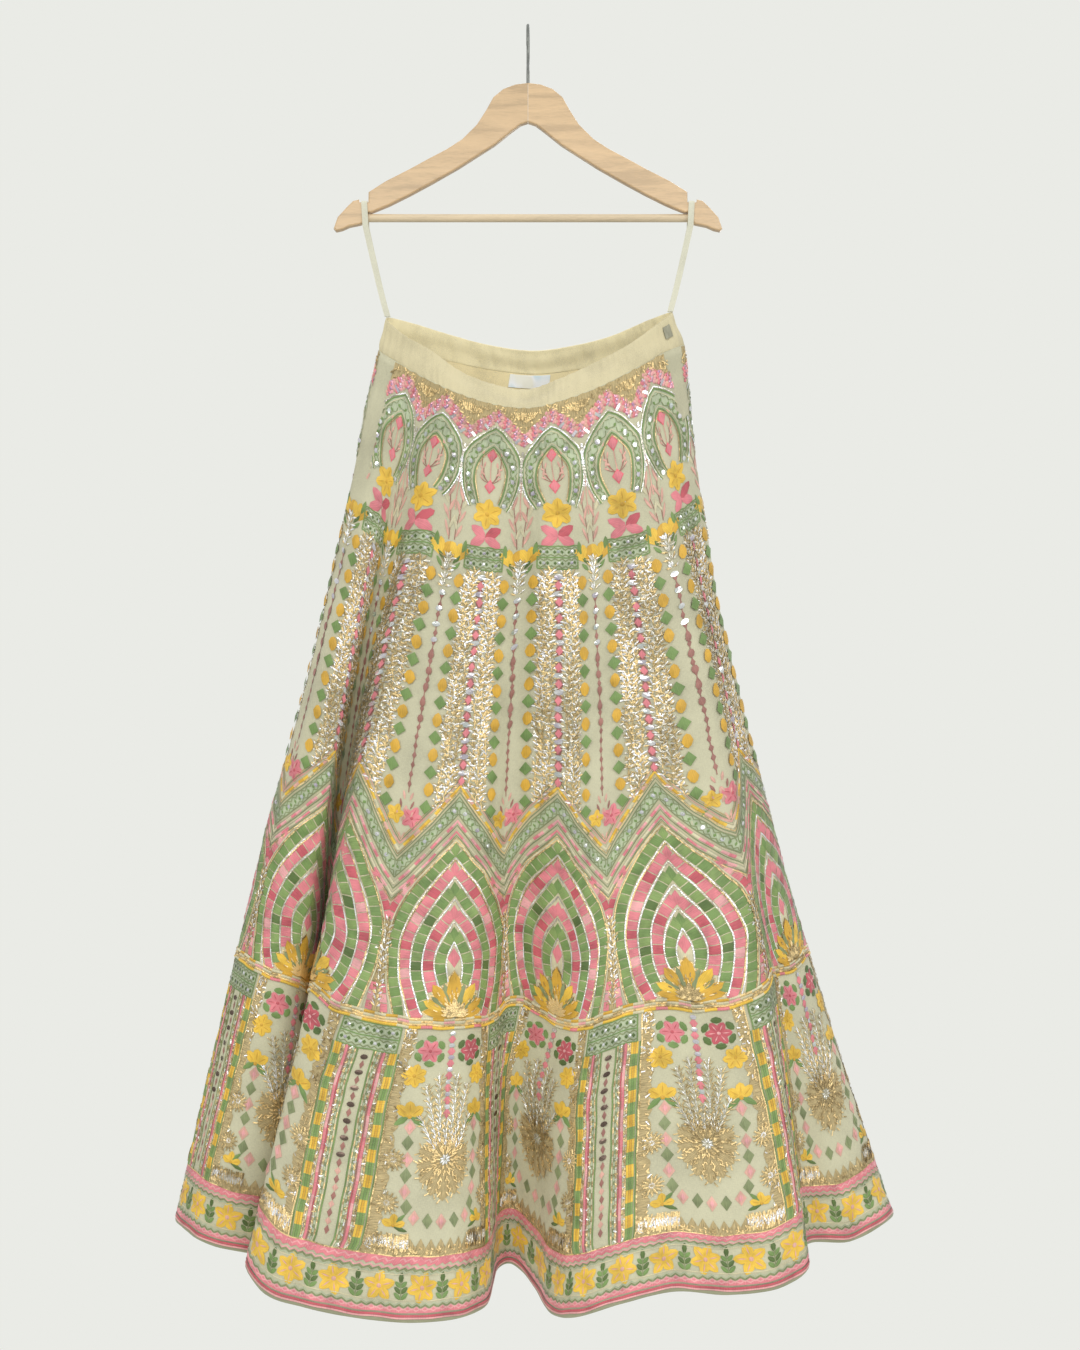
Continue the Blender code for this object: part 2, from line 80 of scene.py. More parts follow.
# Waistband, mm: the upper and lower edges of its outer face.
# repeat, top x, top y, top z, foot x, foot y, foot z
WAIST = (
    (-3.80, -156, 0, -319, -164, 0, -354),
    (-3.30, -139, -9, -337, -142, -14, -370),
    (-2.60, -107, -18, -357, -106, -32, -392),
    (-1.90, -71, -26, -383, -70, -44, -409),
    (-1.20, -32, -31, -398, -31, -51, -421),
    (-0.50, 2, -33, -402, 5, -54, -424),
    (0.15, 36, -32, -390, 37, -53, -416),
    (0.85, 74, -28, -372, 76, -46, -401),
    (1.60, 111, -20, -351, 117, -34, -379),
    (2.25, 141, -10, -328, 149, -15, -359),
    (2.75, 158, 0, -313, 172, 2, -348),
    (3.30, 135, 18, -318, 149, 26, -353),
    (4.05, 93, 32, -334, 99, 40, -362),
    (4.80, 50, 38, -344, 51, 48, -370),
    (5.55, 5, 41, -349, 5, 51, -374),
    (6.30, -45, 38, -343, -45, 48, -369),
    (7.05, -93, 32, -331, -99, 40, -359),
    (7.70, -133, 17, -321, -141, 24, -352),
)

# Folds that show, mm: left side, deep left fold, left bell, centre valley, right bell,
# right fold and right side.
# repeat, middle x, middle y, hem x, hem y, hem z
FRONT_FOLDS = (
    (-3.75, -270, 40, -391, 52, -1319),
    (-3.50, -260, 14, -381, 10, -1323),
    (-3.25, -239, 0, -347, -10, -1337),
    (-3.02, -218, 4, -293, 4, -1352),
    (-2.84, -214, 22, -259, 34, -1367),
    (-2.60, -213, 46, -240, 66, -1383),
    (-2.42, -205, 50, -226, 62, -1386),
    (-2.22, -203, 30, -240, 24, -1377),
    (-2.04, -196, 4, -275, -18, -1364),
    (-1.90, -183, -12, -304, -44, -1346),
    (-1.72, -161, -26, -282, -84, -1367),
    (-1.50, -135, -38, -234, -104, -1378),
    (-1.25, -105, -46, -170, -124, -1384),
    (-1.00, -75, -46, -112, -130, -1386),
    (-0.75, -47, -36, -62, -108, -1385),
    (-0.55, -28, -26, -41, -66, -1381),
    (-0.40, -14, -20, -35, -20, -1363),
    (-0.25, 3, -26, -18, 0, -1360),
    (-0.08, 23, -38, 5, -28, -1375),
    (0.12, 46, -48, 22, -82, -1388),
    (0.35, 69, -54, 48, -122, -1383),
    (0.60, 94, -54, 98, -138, -1364),
    (0.85, 126, -54, 154, -132, -1353),
    (1.10, 159, -56, 212, -120, -1360),
    (1.33, 192, -48, 270, -106, -1355),
    (1.48, 214, -36, 299, -80, -1343),
    (1.60, 223, -22, 298, -46, -1332),
    (1.74, 229, -10, 310, -18, -1332),
    (1.95, 239, 4, 354, -8, -1333),
    (2.15, 246, 26, 393, 12, -1319),
    (2.35, 249, 52, 407, 52, -1315),
)
BACK_FOLDS = 5
ROWS_PER_BACK_FOLD = 8
BACK_MIDDLE_SWING, BACK_HEM_SWING = 1.03, 1.38
BACK_PLACE_UNEVENNESS = 0.07
BACK_SWING_UNEVENNESS = 0.0875
BACK_PLAN_STEPS = 40
BACK_MIDDLE_DEPTH, BACK_HEM_DEPTH = 26, 62
BACK_BOW = 0.35
BACK_HEM_DROP = 24

# Creases, each a soft trough (depth below 0) or ridge along the cloth.
# repeat at its top, down at its top, repeat at its foot, down at its foot, half width mm, depth mm
CREASES = (
    (-3.30, 0.06, -3.46, 0.62, 9, 2.6),
    (-3.05, 0.10, -3.10, 0.55, 7, -3.0),
    (-2.92, 0.34, -2.80, 0.47, 6, -4.0),
    (-2.30, 0.05, -2.18, 0.40, 8, -2.4),
    (-2.02, 0.12, -1.80, 0.70, 10, 2.2),
    (-1.55, 0.30, -1.42, 0.98, 12, -3.0),
    (-1.20, 0.04, -1.28, 0.30, 6, -1.4),
    (-0.72, 0.28, -0.86, 0.97, 13, 2.6),
    (-0.48, 0.05, -0.50, 0.62, 9, -3.2),
    (-0.20, 0.10, -0.12, 0.42, 8, 1.6),
    (0.30, 0.22, 0.22, 0.70, 11, 2.2),
    (0.52, 0.05, 0.46, 0.56, 9, -2.6),
    (0.72, 0.45, 0.78, 1.02, 14, -2.8),
    (0.98, 0.06, 1.06, 0.36, 8, 1.8),
    (1.22, 0.34, 1.16, 0.96, 12, 2.4),
    (1.52, 0.06, 1.56, 0.44, 8, -2.6),
    (1.86, 0.10, 1.90, 0.80, 10, -2.4),
    (2.16, 0.05, 2.30, 0.60, 9, 2.0),
    (2.62, 0.08, 2.70, 0.90, 11, -2.4),
    (3.10, 0.06, 3.16, 0.50, 9, 2.2),
    (3.66, 0.12, 3.58, 0.86, 12, -2.6),
    (4.20, 0.05, 4.32, 0.42, 8, -2.0),
    (4.62, 0.30, 4.55, 0.98, 13, 2.4),
    (5.12, 0.07, 5.20, 0.60, 9, 2.0),
    (5.64, 0.22, 5.52, 0.92, 12, -2.8),
    (6.10, 0.05, 6.02, 0.38, 8, 1.8),
    (6.58, 0.16, 6.66, 0.84, 11, -2.4),
    (7.04, 0.06, 6.98, 0.56, 9, 2.2),
    (7.52, 0.24, 7.60, 0.96, 12, 2.0),
    (7.90, 0.08, 7.86, 0.64, 9, -2.2),
    (2.55, 0.03, 2.55, 0.30, 45, 7.5),
    (-3.75, 0.10, -3.75, 0.55, 45, -7.0),
)

# ---- Embroidery levels, metres down the cloth ------------------------------
ZIGZAG_PEAK, ZIGZAG_VALLEY = 0.0404, 0.0655
ARCH_FOOT = 0.1450
ARCH_SHOULDER, ARCH_NARROWING = 0.50, 0.36
# Lines of the arch, outermost first: half width mm, tip, foot, width mm, finish.
ARCH_LINES = (
    (34.4, 0.0545, ARCH_FOOT, 1.3, "bright"),
    (32.6, 0.0566, ARCH_FOOT, 1.4, "green"),
    (30.4, 0.0597, ARCH_FOOT, 0.9, "cord"),
    (20.6, 0.0735, 0.1400, 0.9, "cord"),
    (18.4, 0.0765, 0.1390, 1.4, "green"),
    (16.4, 0.0790, 0.1375, 0.9, "gold"),
)
BLOCK_TOP, BLOCK_FOOT = 0.1870, 0.2115
BLOCK_HALF_WIDTH = 21 * MM
BODY_TOP = 0.2170
CHEVRON_PEAK, CHEVRON_VALLEY = 0.445, 0.521
# Thin lines of the chevron band: distance below its middle cord mm, width mm, finish.
CHEVRON_LINES = (
    (-12.5, 1.0, "tan"),
    (-9.6, 0.9, "moss"),
    (-6.8, 1.0, "salmon"),
    (-4.2, 0.8, "cord"),
    (4.4, 1.0, "gold"),
    (7.2, 0.9, "moss"),
    (9.4, 0.8, "cord"),
    (12.0, 1.3, "moss"),
    (30.0, 1.3, "moss"),
    (33.0, 0.9, "cord"),
    (42.0, 1.0, "moss"),
    (44.6, 1.0, "cord"),
    (53.0, 1.0, "moss"),
    (55.4, 1.0, "gold"),
    (58.0, 0.9, "salmon"),
)
DOME_TIP, DOME_FOOT = 0.5125, 0.6955
DOME_HALF_WIDTH = 63.5 * MM
DOME_SHOULDER = 0.64
DOME_HEART = 0.6330
TILE_PITCH, TILE_WIDTH = 10.8 * MM, 10.6
TILES_START = 0.025
# Rings of the dome, outermost first: share of the half width, tip below the dome's tip and
# foot above its foot in mm, how far the foot draws in, finishes.
DOME_RINGS = (
    (1.00, 0.0, 0, 0.10, ("green", "leaf", "green", "green", "leaf")),
    (0.815, 21.0, 0, 0.28, ("pink", "pink", "deep_pink", "pink", "pink", "blush")),
    (0.625, 43.0, 9, 0.24, ("leaf", "green", "leaf", "dark_green", "green")),
    (0.425, 68.5, 28, 0.16, ("pink", "pink", "deep_pink")),
    (0.230, 92.5, 36, 0.30, ("leaf", "green")),
)
# Lines between the rings, in the same way, with one finish.
DOME_LINES = (
    (1.115, -9.5, 0, 0.10, "cord"),
    (1.085, -7.5, 0, 0.10, "gold"),
    (0.912, 10.0, 0, 0.18, "bright"),
    (0.895, 12.0, 0, 0.20, "gold"),
    (0.720, 32.0, 4, 0.26, "bright"),
    (0.525, 56.0, 18, 0.20, "bright"),
    (0.328, 80.5, 32, 0.24, "bright"),
    (0.130, 103.0, 38, 0.20, "bright"),
)
# Petals of the fan at the dome's foot: lean, length mm, width mm, the finishes of the
# petal and of its mirror image.
# Yellow and ochre by turns are partly painted sheen: one satin thread, lighter or darker as its
# stitches turn.
FAN_PETALS = (
    (0.32, 36, 7, "moss", "moss"),
    (0.88, 32, 7, "moss", "moss"),
    (1.42, 33, 10, "ochre", "ochre"),
    (1.12, 36, 12, "ochre", "yellow"),
    (0.62, 40, 14, "yellow", "ochre"),
    (0.0, 45, 17, "ochre", "ochre"),
)
TIER_TOP = 0.7065
STRIPES_HALF_WIDTH, LARGE_BLOCK_HALF_WIDTH = 31.5 * MM, 28.5 * MM
STRIPES_TOP = TIER_TOP + 28 * MM
BORDER_TOP, BORDER_MIDDLE = 0.9375, 0.9655
BORDER_TEETH = 24
PANEL_FOOT = BORDER_TOP - 1 * MM
# Zigzag lines of the hem border: level, height mm, width mm, finish.
BORDER_ZIGZAGS = (
    (0.9392, 2.6, 1.4, "blush"),
    (0.9886, -2.4, 1.4, "blush"),
    (0.9458, 2.2, 1.3, "blush"),
    (0.9478, 2.2, 1.8, "moss"),
    (0.9500, 2.2, 1.0, "sage"),
    (0.9846, 2.8, 1.3, "blush"),
    (0.9826, 2.8, 1.8, "moss"),
    (0.9804, 2.8, 1.0, "sage"),
)
# Straight lines of the hem border: level, width mm, lift mm, finish.
BORDER_LINES = (
    (BORDER_TOP - 0.5 * MM, 1.2, 0.9, "gold"),
    (0.9530, 0.9, 0.9, "cord"),
    (0.9785, 0.9, 0.9, "cord"),
    (0.9935, 2.4, 1.0, "deep_pink"),
    (0.9957, 1.6, 1.4, "blush"),
)
BOUQUET_DOWN, BOUQUET_HEART = 0.8420, 5
# Leaves of the bouquet on the tier, on both sides: lean, length mm, width mm.
BOUQUET_LEAVES = (
    (0.0, 15, 15),
    (0.62, 19, 17),
    (1.22, 24, 18),
    (1.80, 25, 18),
    (2.30, 28, 19),
    (2.78, 33, 17),
    (PI, 37, 18),
)
# Sprigs of bright stitches above it, on both sides: phase, level of the foot, lean,
# reach mm.
BOUQUET_SPRIGS = (
    (0.0, 0.829, 0.0, 26),
    (0.030, 0.826, 0.06, 70),
    (0.045, 0.828, 0.22, 60),
    (0.055, 0.832, 0.48, 38),
)
# Right half of the chain of diamonds round the bouquet, from its foot up: phase, level.
CHAIN = (
    (0.0, 0.904),
    (0.070, 0.903),
    (0.140, 0.900),
    (0.182, 0.889),
    (0.194, 0.874),
    (0.198, 0.858),
    (0.198, 0.842),
    (0.201, 0.825),
    (0.197, 0.809),
)
# How far the hand-laid embroidery strays on the cloth: level, then at each of these repeats
# the stray round the skirt in thousandths of a repeat, and the stray down it in mm.
DRIFT_REPEATS = (-2, -1, 0, 1, 2)
DRIFT = (
    (0.030, (-150, -160, -80, -40, -190), (0, 0, 0, 0, 0)),
    (0.090, (-150, -160, -80, -40, -190), (-2, -2, 0, 8, 4)),
    (0.150, (-100, -100, 0, -40, -190), (-8, -3, 0, 11, 4)),
    (0.200, (-40, -50, 10, -30, -150), (-6, -4, -1, 9, 2)),
    (0.445, (30, 0, 0, -60, -120), (-4, -3, 3, 9, 10)),
    (0.520, (50, 10, 10, -35, -60), (-2, -3, -1, 6, 8)),
    (0.630, (50, 70, 30, 30, 0), (-5, -6, -6, 5, 3)),
    (0.700, (60, 100, 40, 30, 0), (-5, -3, 0, 4, 0)),
    (0.780, (-20, 85, -90, 45, 0), (-5, -5, -3, 4, 0)),
    (0.932, (-30, 85, -90, 50, 0), (-3, -3, -2, 4, 0)),
    (0.952, (0, 0, 0, 0, 0), (0, 0, 0, 0, 0)),
)
# Stripes from the outside in: distance from the middle of the striped panel mm, width mm,
# finishes, length of one part mm.
STRIPES = (
    (31.4, 1.2, ("green",), 40),
    (28.8, 2.2, ("yellow", "leaf"), 13),
    (26.4, 2.2, ("ochre", "green"), 13),
    (24.0, 2.2, ("yellow", "leaf"), 13),
    (21.9, 1.2, ("gold",), 40),
    (20.0, 1.2, ("gold", "cord"), 9),
    (17.7, 2.6, ("pink", "blush", "pink", "blush"), 22),
    (15.5, 1.2, ("rose", "deep_pink"), 30),
    (13.6, 1.3, ("gold", "cord"), 6),
    (11.6, 1.7, ("sage", "moss"), 4),
    (9.7, 1.2, ("gold", "cord"), 6),
    (7.9, 1.3, ("green",), 40),
)
# The plain cloth beside the side openings: middle repeat, half width in repeats, foot.
PLAIN_STRIPS = ((-3.52, 0.13, 0.185), (2.50, 0.10, 0.10))


def srgb(red, green, blue):
    """Linear colour of an 8-bit sRGB one."""
    share = (np.array((red, green, blue)) / 255 + 0.055) / 1.055
    return tuple(float(v) for v in share**2.4)


def colour(name, description, *rgb):
    return FloatVectorProperty(name=name, description=description, subtype="COLOR", size=3,
                               min=0, max=1, default=srgb(*rgb))


def size(name, description, value):
    return FloatProperty(name=name, description=description, subtype="DISTANCE", unit="LENGTH",
                         min=0, default=value, precision=4)


class SkirtColours(bpy.types.PropertyGroup):
    ground: colour("Ground", "Silk of the panels under the embroidery", 206, 202, 170)
    band: colour("Band", "Cloth of the waistband and its lining", 216, 205, 166)
    pink: colour("Pink", "Light pink silk", 224, 132, 138)
    deep_pink: colour("Deep pink", "Dark pink silk", 198, 94, 102)
    coral: colour("Coral", "Bright pink silk of the buds", 238, 116, 126)
    blush: colour("Blush", "Pale pink silk", 232, 168, 166)
    salmon: colour("Salmon", "Pale orange pink silk of the small leaves", 222, 172, 154)
    rose: colour("Rose", "Rose brown silk of the thin lines", 164, 114, 102)
    yellow: colour("Yellow", "Yellow silk", 234, 192, 72)
    ochre: colour("Ochre", "Dark yellow silk", 214, 168, 60)
    green: colour("Green", "Mid green silk", 120, 148, 84)
    leaf: colour("Leaf green", "Light green silk of the tiles", 136, 160, 94)
    dark_green: colour("Dark green", "Dark green silk", 92, 114, 60)
    moss: colour("Moss", "Grey green silk of the wavy lines", 138, 148, 104)
    sage: colour("Sage", "Pale grey green silk of the lattices", 184, 194, 160)
    cord: colour("Cord", "Cream couched cord", 212, 204, 168)
    tan: colour("Tan", "Matt gold stitching of the serrated borders", 192, 172, 124)
    gold: colour("Gold", "Metal thread", 216, 190, 136)
    # The rolled hem is cream cloth turned under; its grey green is painted shade.
    rolled: colour("Rolled hem", "Grey green rolled edge", 158, 158, 128)
    wood: colour("Wood", "Varnished hanger", 218, 186, 142)
    bar: colour("Bar", "Hanger bar", 220, 200, 166)
    backdrop: colour("Backdrop", "Studio background", 234, 235, 230)


class SkirtSizes(bpy.types.PropertyGroup):
    cloth: size("Cloth", "Thickness of the embroidered cloth", 1.2 * MM)
    band: size("Band", "Thickness of the waistband", 2.2 * MM)
    lift: size("Lift", "How far the rim of a stitched patch stands off the cloth", 0.5 * MM)
    crown: size("Crown", "How far the middle of a stitched patch stands above its rim", 0.7 * MM)
    wobble: size("Wobble", "How far hand stitching strays from its drawn line", 0.7 * MM)
    columns: IntProperty(name="Columns", description="Cloth cells across one repeat",
                         min=8, default=34)


def colours():
    return bpy.context.scene.skirt_colours


def sizes():
    return bpy.context.scene.skirt_sizes


# ---- The cloth surface -----------------------------------------------------
class Ring:
    """A smooth closed curve round the skirt through rows of (repeat, x, y, z) in metres."""

    def __init__(self, rows):
        rows = np.array(rows, float)
        before, after = rows[-3:].copy(), rows[:3].copy()
        before[:, 0] -= REPEATS
        after[:, 0] += REPEATS
        rows = np.vstack([before, rows, after])
        self.repeat, self.point = rows[:, 0], rows[:, 1:]
        step = np.diff(self.repeat)[:, None]
        slope = np.diff(self.point, axis=0) / step
        middle = (slope[:-1] * step[1:] + slope[1:] * step[:-1]) / (step[1:] + step[:-1])
        self.slope = np.vstack([slope[:1], middle, slope[-1:]])

    def at(self, repeat):
        first = self.repeat[3]
        repeat = (np.asarray(repeat, float) - first) % REPEATS + first
        index = np.searchsorted(self.repeat, repeat, side="right") - 1
        step = (self.repeat[index + 1] - self.repeat[index])[..., None]
        part = (repeat - self.repeat[index])[..., None] / step
        start, end = self.point[index], self.point[index + 1]
        leave, arrive = self.slope[index] * step, self.slope[index + 1] * step
        return (
            start * (1 + 2 * part) * (1 - part) ** 2
            + leave * part * (1 - part) ** 2
            + end * part**2 * (3 - 2 * part)
            + arrive * part**2 * (part - 1)
        )


def back_plan(start, end, swing, depth):
    """Plan points of the back folds from start to end (x, y), at equal steps of cloth."""
    fine = BACK_PLAN_STEPS
    count = BACK_FOLDS * ROWS_PER_BACK_FOLD
    part = (np.arange(count * fine) + 0.5) / (count * fine)
    turn = 2 * PI * (BACK_FOLDS * part + BACK_PLACE_UNEVENNESS * np.sin(4 * PI * part))
    heading = swing * (1 - BACK_SWING_UNEVENNESS * np.sin(3 * PI * part)) * np.sin(turn)
    run = np.cumsum(np.cos(heading))[fine - 1::fine]
    side = np.cumsum(np.sin(heading))[fine - 1::fine]
    scale = (end[0] - start[0]) / run[-1]
    along = np.arange(1, count + 1) / count
    side = side - side[-1] * along
    bow = depth * np.abs(np.sin(PI * along)) ** BACK_BOW
    y = start[1] + (end[1] - start[1]) * along + side * abs(scale) + bow
    return start[0] + run * scale, y


def back_folds():
    """Rows like FRONT_FOLDS for the back."""
    start, end = FRONT_FOLDS[-1], FRONT_FOLDS[0]
    middle_x, middle_y = back_plan(start[1:3], end[1:3], BACK_MIDDLE_SWING, BACK_MIDDLE_DEPTH)
    hem_x, hem_y = back_plan(start[3:5], end[3:5], BACK_HEM_SWING, BACK_HEM_DEPTH)
    count = BACK_FOLDS * ROWS_PER_BACK_FOLD
    rows = []
    for i in range(count - 1):
        part = (i + 1) / count
        rows.append((
            start[0] + (end[0] + REPEATS - start[0]) * part,
            middle_x[i], middle_y[i], hem_x[i], hem_y[i],
            start[5] + (end[5] - start[5]) * part - BACK_HEM_DROP * math.sin(PI * part),
        ))
    return rows


def ring_from(rows, column):
    """The ring through the points in mm that start at this column of rows."""
    return Ring([(row[0], *(v * MM for v in row[column:column + 3])) for row in rows])


FOLDS = [*FRONT_FOLDS, *back_folds()]
TOP_RING, FOOT_RING = ring_from(WAIST, 1), ring_from(WAIST, 4)
HEM_RING = ring_from(FOLDS, 3)
MIDDLE_PART = (MIDDLE_DOWN - BAND_DOWN) / (1 - BAND_DOWN)


def middle_rows():
    """The middle ring: its plan from the folds, its height on the line from foot to hem."""
    rows = []
    for row in FOLDS:
        foot_z, hem_z = FOOT_RING.at(row[0])[2], row[5] * MM
        rows.append((row[0], row[1] * MM, row[2] * MM, foot_z + MIDDLE_PART * (hem_z - foot_z)))
    return rows


MIDDLE_RING = Ring(middle_rows())


def width_at(down):
    """Width of one repeat of the cloth."""
    return REPEAT_AT_WAIST + REPEAT_GROWTH * down + REPEAT_FLARE * down**2


def form(repeat, down):
    """Points of the part's own cloth face, for arrays of repeat and down of one shape."""
    foot = FOOT_RING.at(repeat)
    on_band = (down / BAND_DOWN)[..., None]
    band = TOP_RING.at(repeat) * (1 - on_band) + foot * on_band
    part = ((down - BAND_DOWN) / (1 - BAND_DOWN))[..., None]
    skirt = (
        foot * (part - MIDDLE_PART) * (part - 1) / MIDDLE_PART
        + MIDDLE_RING.at(repeat) * part * (part - 1) / (MIDDLE_PART * (MIDDLE_PART - 1))
        + HEM_RING.at(repeat) * part * (part - MIDDLE_PART) / (1 - MIDDLE_PART)
    )
    return np.where(down[..., None] < BAND_DOWN, band, skirt)


def outward(repeat, down):
    """Unit normals of the cloth, pointing away from the wearer."""
    along = form(repeat + NORMAL_STEP, down) - form(repeat - NORMAL_STEP, down)
    fall = form(repeat, down + NORMAL_STEP) - form(repeat, down - NORMAL_STEP)
    normal = np.cross(fall, along)
    return normal / np.linalg.norm(normal, axis=-1, keepdims=True)


def nearest(repeat):
    """The same way round the skirt, in repeats from -6 to 6."""
    return (repeat + REPEATS / 2) % REPEATS - REPEATS / 2


def relief(repeat, down):
    """How far the creases and the puckers of the stitching move the cloth outwards."""
    moved = np.zeros_like(down)
    for top, top_down, foot, foot_down, half_width, depth in CREASES:
        part = np.clip((down - top_down) / (foot_down - top_down), 0, 1)
        aside = nearest(repeat - (top + (foot - top) * part))
        across = aside * width_at(down) / (half_width * MM)
        moved += depth * MM * np.exp(-across**2) * np.sin(PI * part) ** 0.8
    pucker = (
        np.sin(repeat * 41 + 3 * np.sin(down * 37)) * np.sin(down * 173 + 2 * np.sin(repeat * 9))
        + 0.7 * np.sin(repeat * 23 + down * 61) * np.sin(down * 97 - repeat * 13)
    )
    return moved + PUCKER_DEPTH * pucker * np.clip((down - BAND_DOWN) / PUCKER_FADE, 0, 1)


def on_cloth(repeat, down, lift=0.0):
    """Points that stand off the finished cloth by lift."""
    repeat, down, lift = (np.asarray(v, float) for v in np.broadcast_arrays(repeat, down, lift))
    return form(repeat, down) + outward(repeat, down) * (relief(repeat, down) + lift)[..., None]


def drift(repeat, down):
    """Places of the embroidery, moved by how far it strays."""
    levels = [row[0] for row in DRIFT]
    from_middle = nearest(repeat)
    round_it, along_it = np.zeros_like(down), np.zeros_like(down)
    for i, place in enumerate(DRIFT_REPEATS):
        share = np.clip(1 - np.abs(from_middle - place), 0, 1)
        share = share**2 * (3 - 2 * share)
        round_it += share * np.interp(down, levels, [row[1][i] for row in DRIFT]) / 1000
        along_it += share * np.interp(down, levels, [row[2][i] for row in DRIFT]) * MM
    return repeat + round_it, down + along_it


# ---- Materials -------------------------------------------------------------
def add(tree, kind, inputs=(), **settings):
    """A shader node, with its settings, and its inputs given as values or as links."""
    made = tree.nodes.new("ShaderNode" + kind)
    for name, value in settings.items():
        setattr(made, name, value)
    for name, value in dict(inputs).items():
        if isinstance(value, bpy.types.NodeSocket):
            tree.links.new(value, made.inputs[name])
        else:
            made.inputs[name].default_value = value
    return made


def combine(tree, operation, first, second):
    """The sum or product of two factors."""
    return add(tree, "Math", {0: first, 1: second}, operation=operation).outputs[0]


def material(name, **sockets):
    """A new Principled material with these sockets set."""
    made = bpy.data.materials.new(name)
    made.use_nodes = True
    shader = made.node_tree.nodes["Principled BSDF"]
    for socket, value in sockets.items():
        shader.inputs[socket.replace("_", " ")].default_value = value
    return made, made.node_tree, shader


def shades(tree, factor, *stops):
    """A colour ramp over factor, with stops of (position, colour)."""
    ramp = add(tree, "ValToRGB", {"Fac": factor})
    elements = ramp.color_ramp.elements
    while len(elements) < len(stops):
        elements.new(0.5)
    for element, (position, rgb) in zip(elements, stops):
        element.position = position
        element.color = (*rgb, 1)
    return ramp.outputs["Color"]


def paint(tree, shader, factor, *stops):
    """Colours the shader by factor, with stops of (position, colour)."""
    tree.links.new(shades(tree, factor, *stops), shader.inputs["Base Color"])


def paint_tones(tree, shader, factor, rgb, *stops):
    """Colours the shader by factor, with stops of (position, share of the colour)."""
    paint(tree, shader, factor, *((position, tone(rgb, share)) for position, share in stops))


def tone(rgb, share):
    return tuple(min(1.0, v * share) for v in rgb)


def noise(tree, place, scale, detail=2.0, stretch=(1, 1, 1)):
    """Soft noise over a place, finer where it is stretched."""
    mapped = add(tree, "Mapping", {"Vector": place, "Scale": stretch}).outputs["Vector"]
    made = add(tree, "TexNoise", {"Vector": mapped, "Scale": scale, "Detail": detail})
    return made.outputs["Fac"]


def bump(tree, shader, height, distance, strength, under=None):
    """Roughens the shader by height, on top of the bump under it."""
    made = add(tree, "Bump", {"Height": height, "Distance": distance, "Strength": strength})
    if under is not None:
        tree.links.new(under, made.inputs["Normal"])
    tree.links.new(made.outputs["Normal"], shader.inputs["Normal"])
    return made.outputs["Normal"]


def object_place(tree):
    return add(tree, "TexCoord").outputs["Object"]


def stitch_place(tree):
    """Metres along and across the stitches of a patch."""
    return add(tree, "UVMap", uv_map="stitches").outputs["UV"]


@functools.cache
def silk(name):
    """Satin stitch in silk floss: strands along the stitches, a little uneven in tone, with
    patches of painted sheen.
    """
    made, tree, shader = material("silk_" + name, Roughness=0.46, Sheen_Weight=0.25,
                                  Sheen_Roughness=0.4, Specular_IOR_Level=0.45)
    strands = noise(tree, stitch_place(tree), 1.0, 2.0, (90, 900, 1))
    # Uneven tone, and also painted sheen: patches lighter or darker, as satin looks where it turns
    # to the light.
    tone_and_painted_sheen = noise(tree, object_place(tree), 55.0)
    total = combine(tree, "ADD", combine(tree, "MULTIPLY", strands, 0.62), tone_and_painted_sheen)
    paint_tones(tree, shader, total, getattr(colours(), name), (0.52, 0.70), (0.78, 1.0),
                (1.0, 1.22))
    bump(tree, shader, strands, 0.6 * MM, 0.55)
    return made


@functools.cache
def metal_thread(name, rgb, roughness, glitter, metallic):
    """Metal thread or small metal beads, each stitch turned a little its own way, with patches of
    painted highlight in the colour.
    """
    made, tree, shader = material(name, Roughness=roughness, Metallic=metallic)
    place = object_place(tree)
    grains = add(tree, "TexVoronoi", {"Vector": place, "Scale": glitter}, feature="F1")
    # Fine noise gives uneven tone; broad noise gives painted highlight patches, up to 1.45 times
    # the colour.
    tone_and_painted_highlights = combine(tree, "ADD", noise(tree, place, glitter / 4),
                     noise(tree, place, 10.0, 2.0, (1.6, 1.6, 1.0)))
    paint_tones(tree, shader, tone_and_painted_highlights, rgb, (0.72, 0.52), (1.0, 0.92), (1.25, 1.45))
    bump(tree, shader, grains.outputs["Distance"], 0.5 * MM, 0.8)
    return made


@functools.cache
def tan_stitching():
    """Close rows of matt gold thread."""
    made, tree, shader = material("tan_stitching", Roughness=0.5, Metallic=0.25,
                                  Sheen_Weight=0.15)
    rows = noise(tree, stitch_place(tree), 1.0, 3.0, (120, 1100, 1))
    paint_tones(tree, shader, rows, colours().tan, (0.3, 0.6), (0.5, 1.0), (0.72, 1.4))
    first = bump(tree, shader, rows, 0.9 * MM, 0.8)
    bump(tree, shader, noise(tree, object_place(tree), 120.0), 0.8 * MM, 0.5, first)
    return made


@functools.cache
def foil(name, roughness, metallic, scale, *stops):
    """Small shiny discs whose colour changes in patches between the stops: painted reflection on
    the mirrors, their own mixed colours on the sequins.
    """
    made, tree, shader = material(name, Roughness=roughness, Metallic=metallic)
    paint(tree, shader, noise(tree, object_place(tree), scale), *stops)
    return made


@functools.cache
def panel_cloth():
    """The silk ground: a fine plain weave with slubs and a little gathering of tone."""
    made, tree, shader = material("panel_silk", Roughness=0.62, Sheen_Weight=0.2,
                                  Sheen_Roughness=0.45, Specular_IOR_Level=0.35)
    place = stitch_place(tree)
    warp = noise(tree, place, 1.0, 2.0, (300, 1400, 1))
    weft = noise(tree, place, 1.0, 2.0, (1400, 260, 1))
    weave = combine(tree, "MULTIPLY", warp, weft)
    total = combine(tree, "ADD", weave, noise(tree, object_place(tree), 16.0, 3.0))
    paint_tones(tree, shader, total, colours().ground, (0.5, 0.84), (0.75, 1.0), (1.0, 1.10))
    first = bump(tree, shader, weave, 0.5 * MM, 0.5)
    bump(tree, shader, noise(tree, object_place(tree), 70.0, 3.0), 1.2 * MM, 0.6, first)
    return made


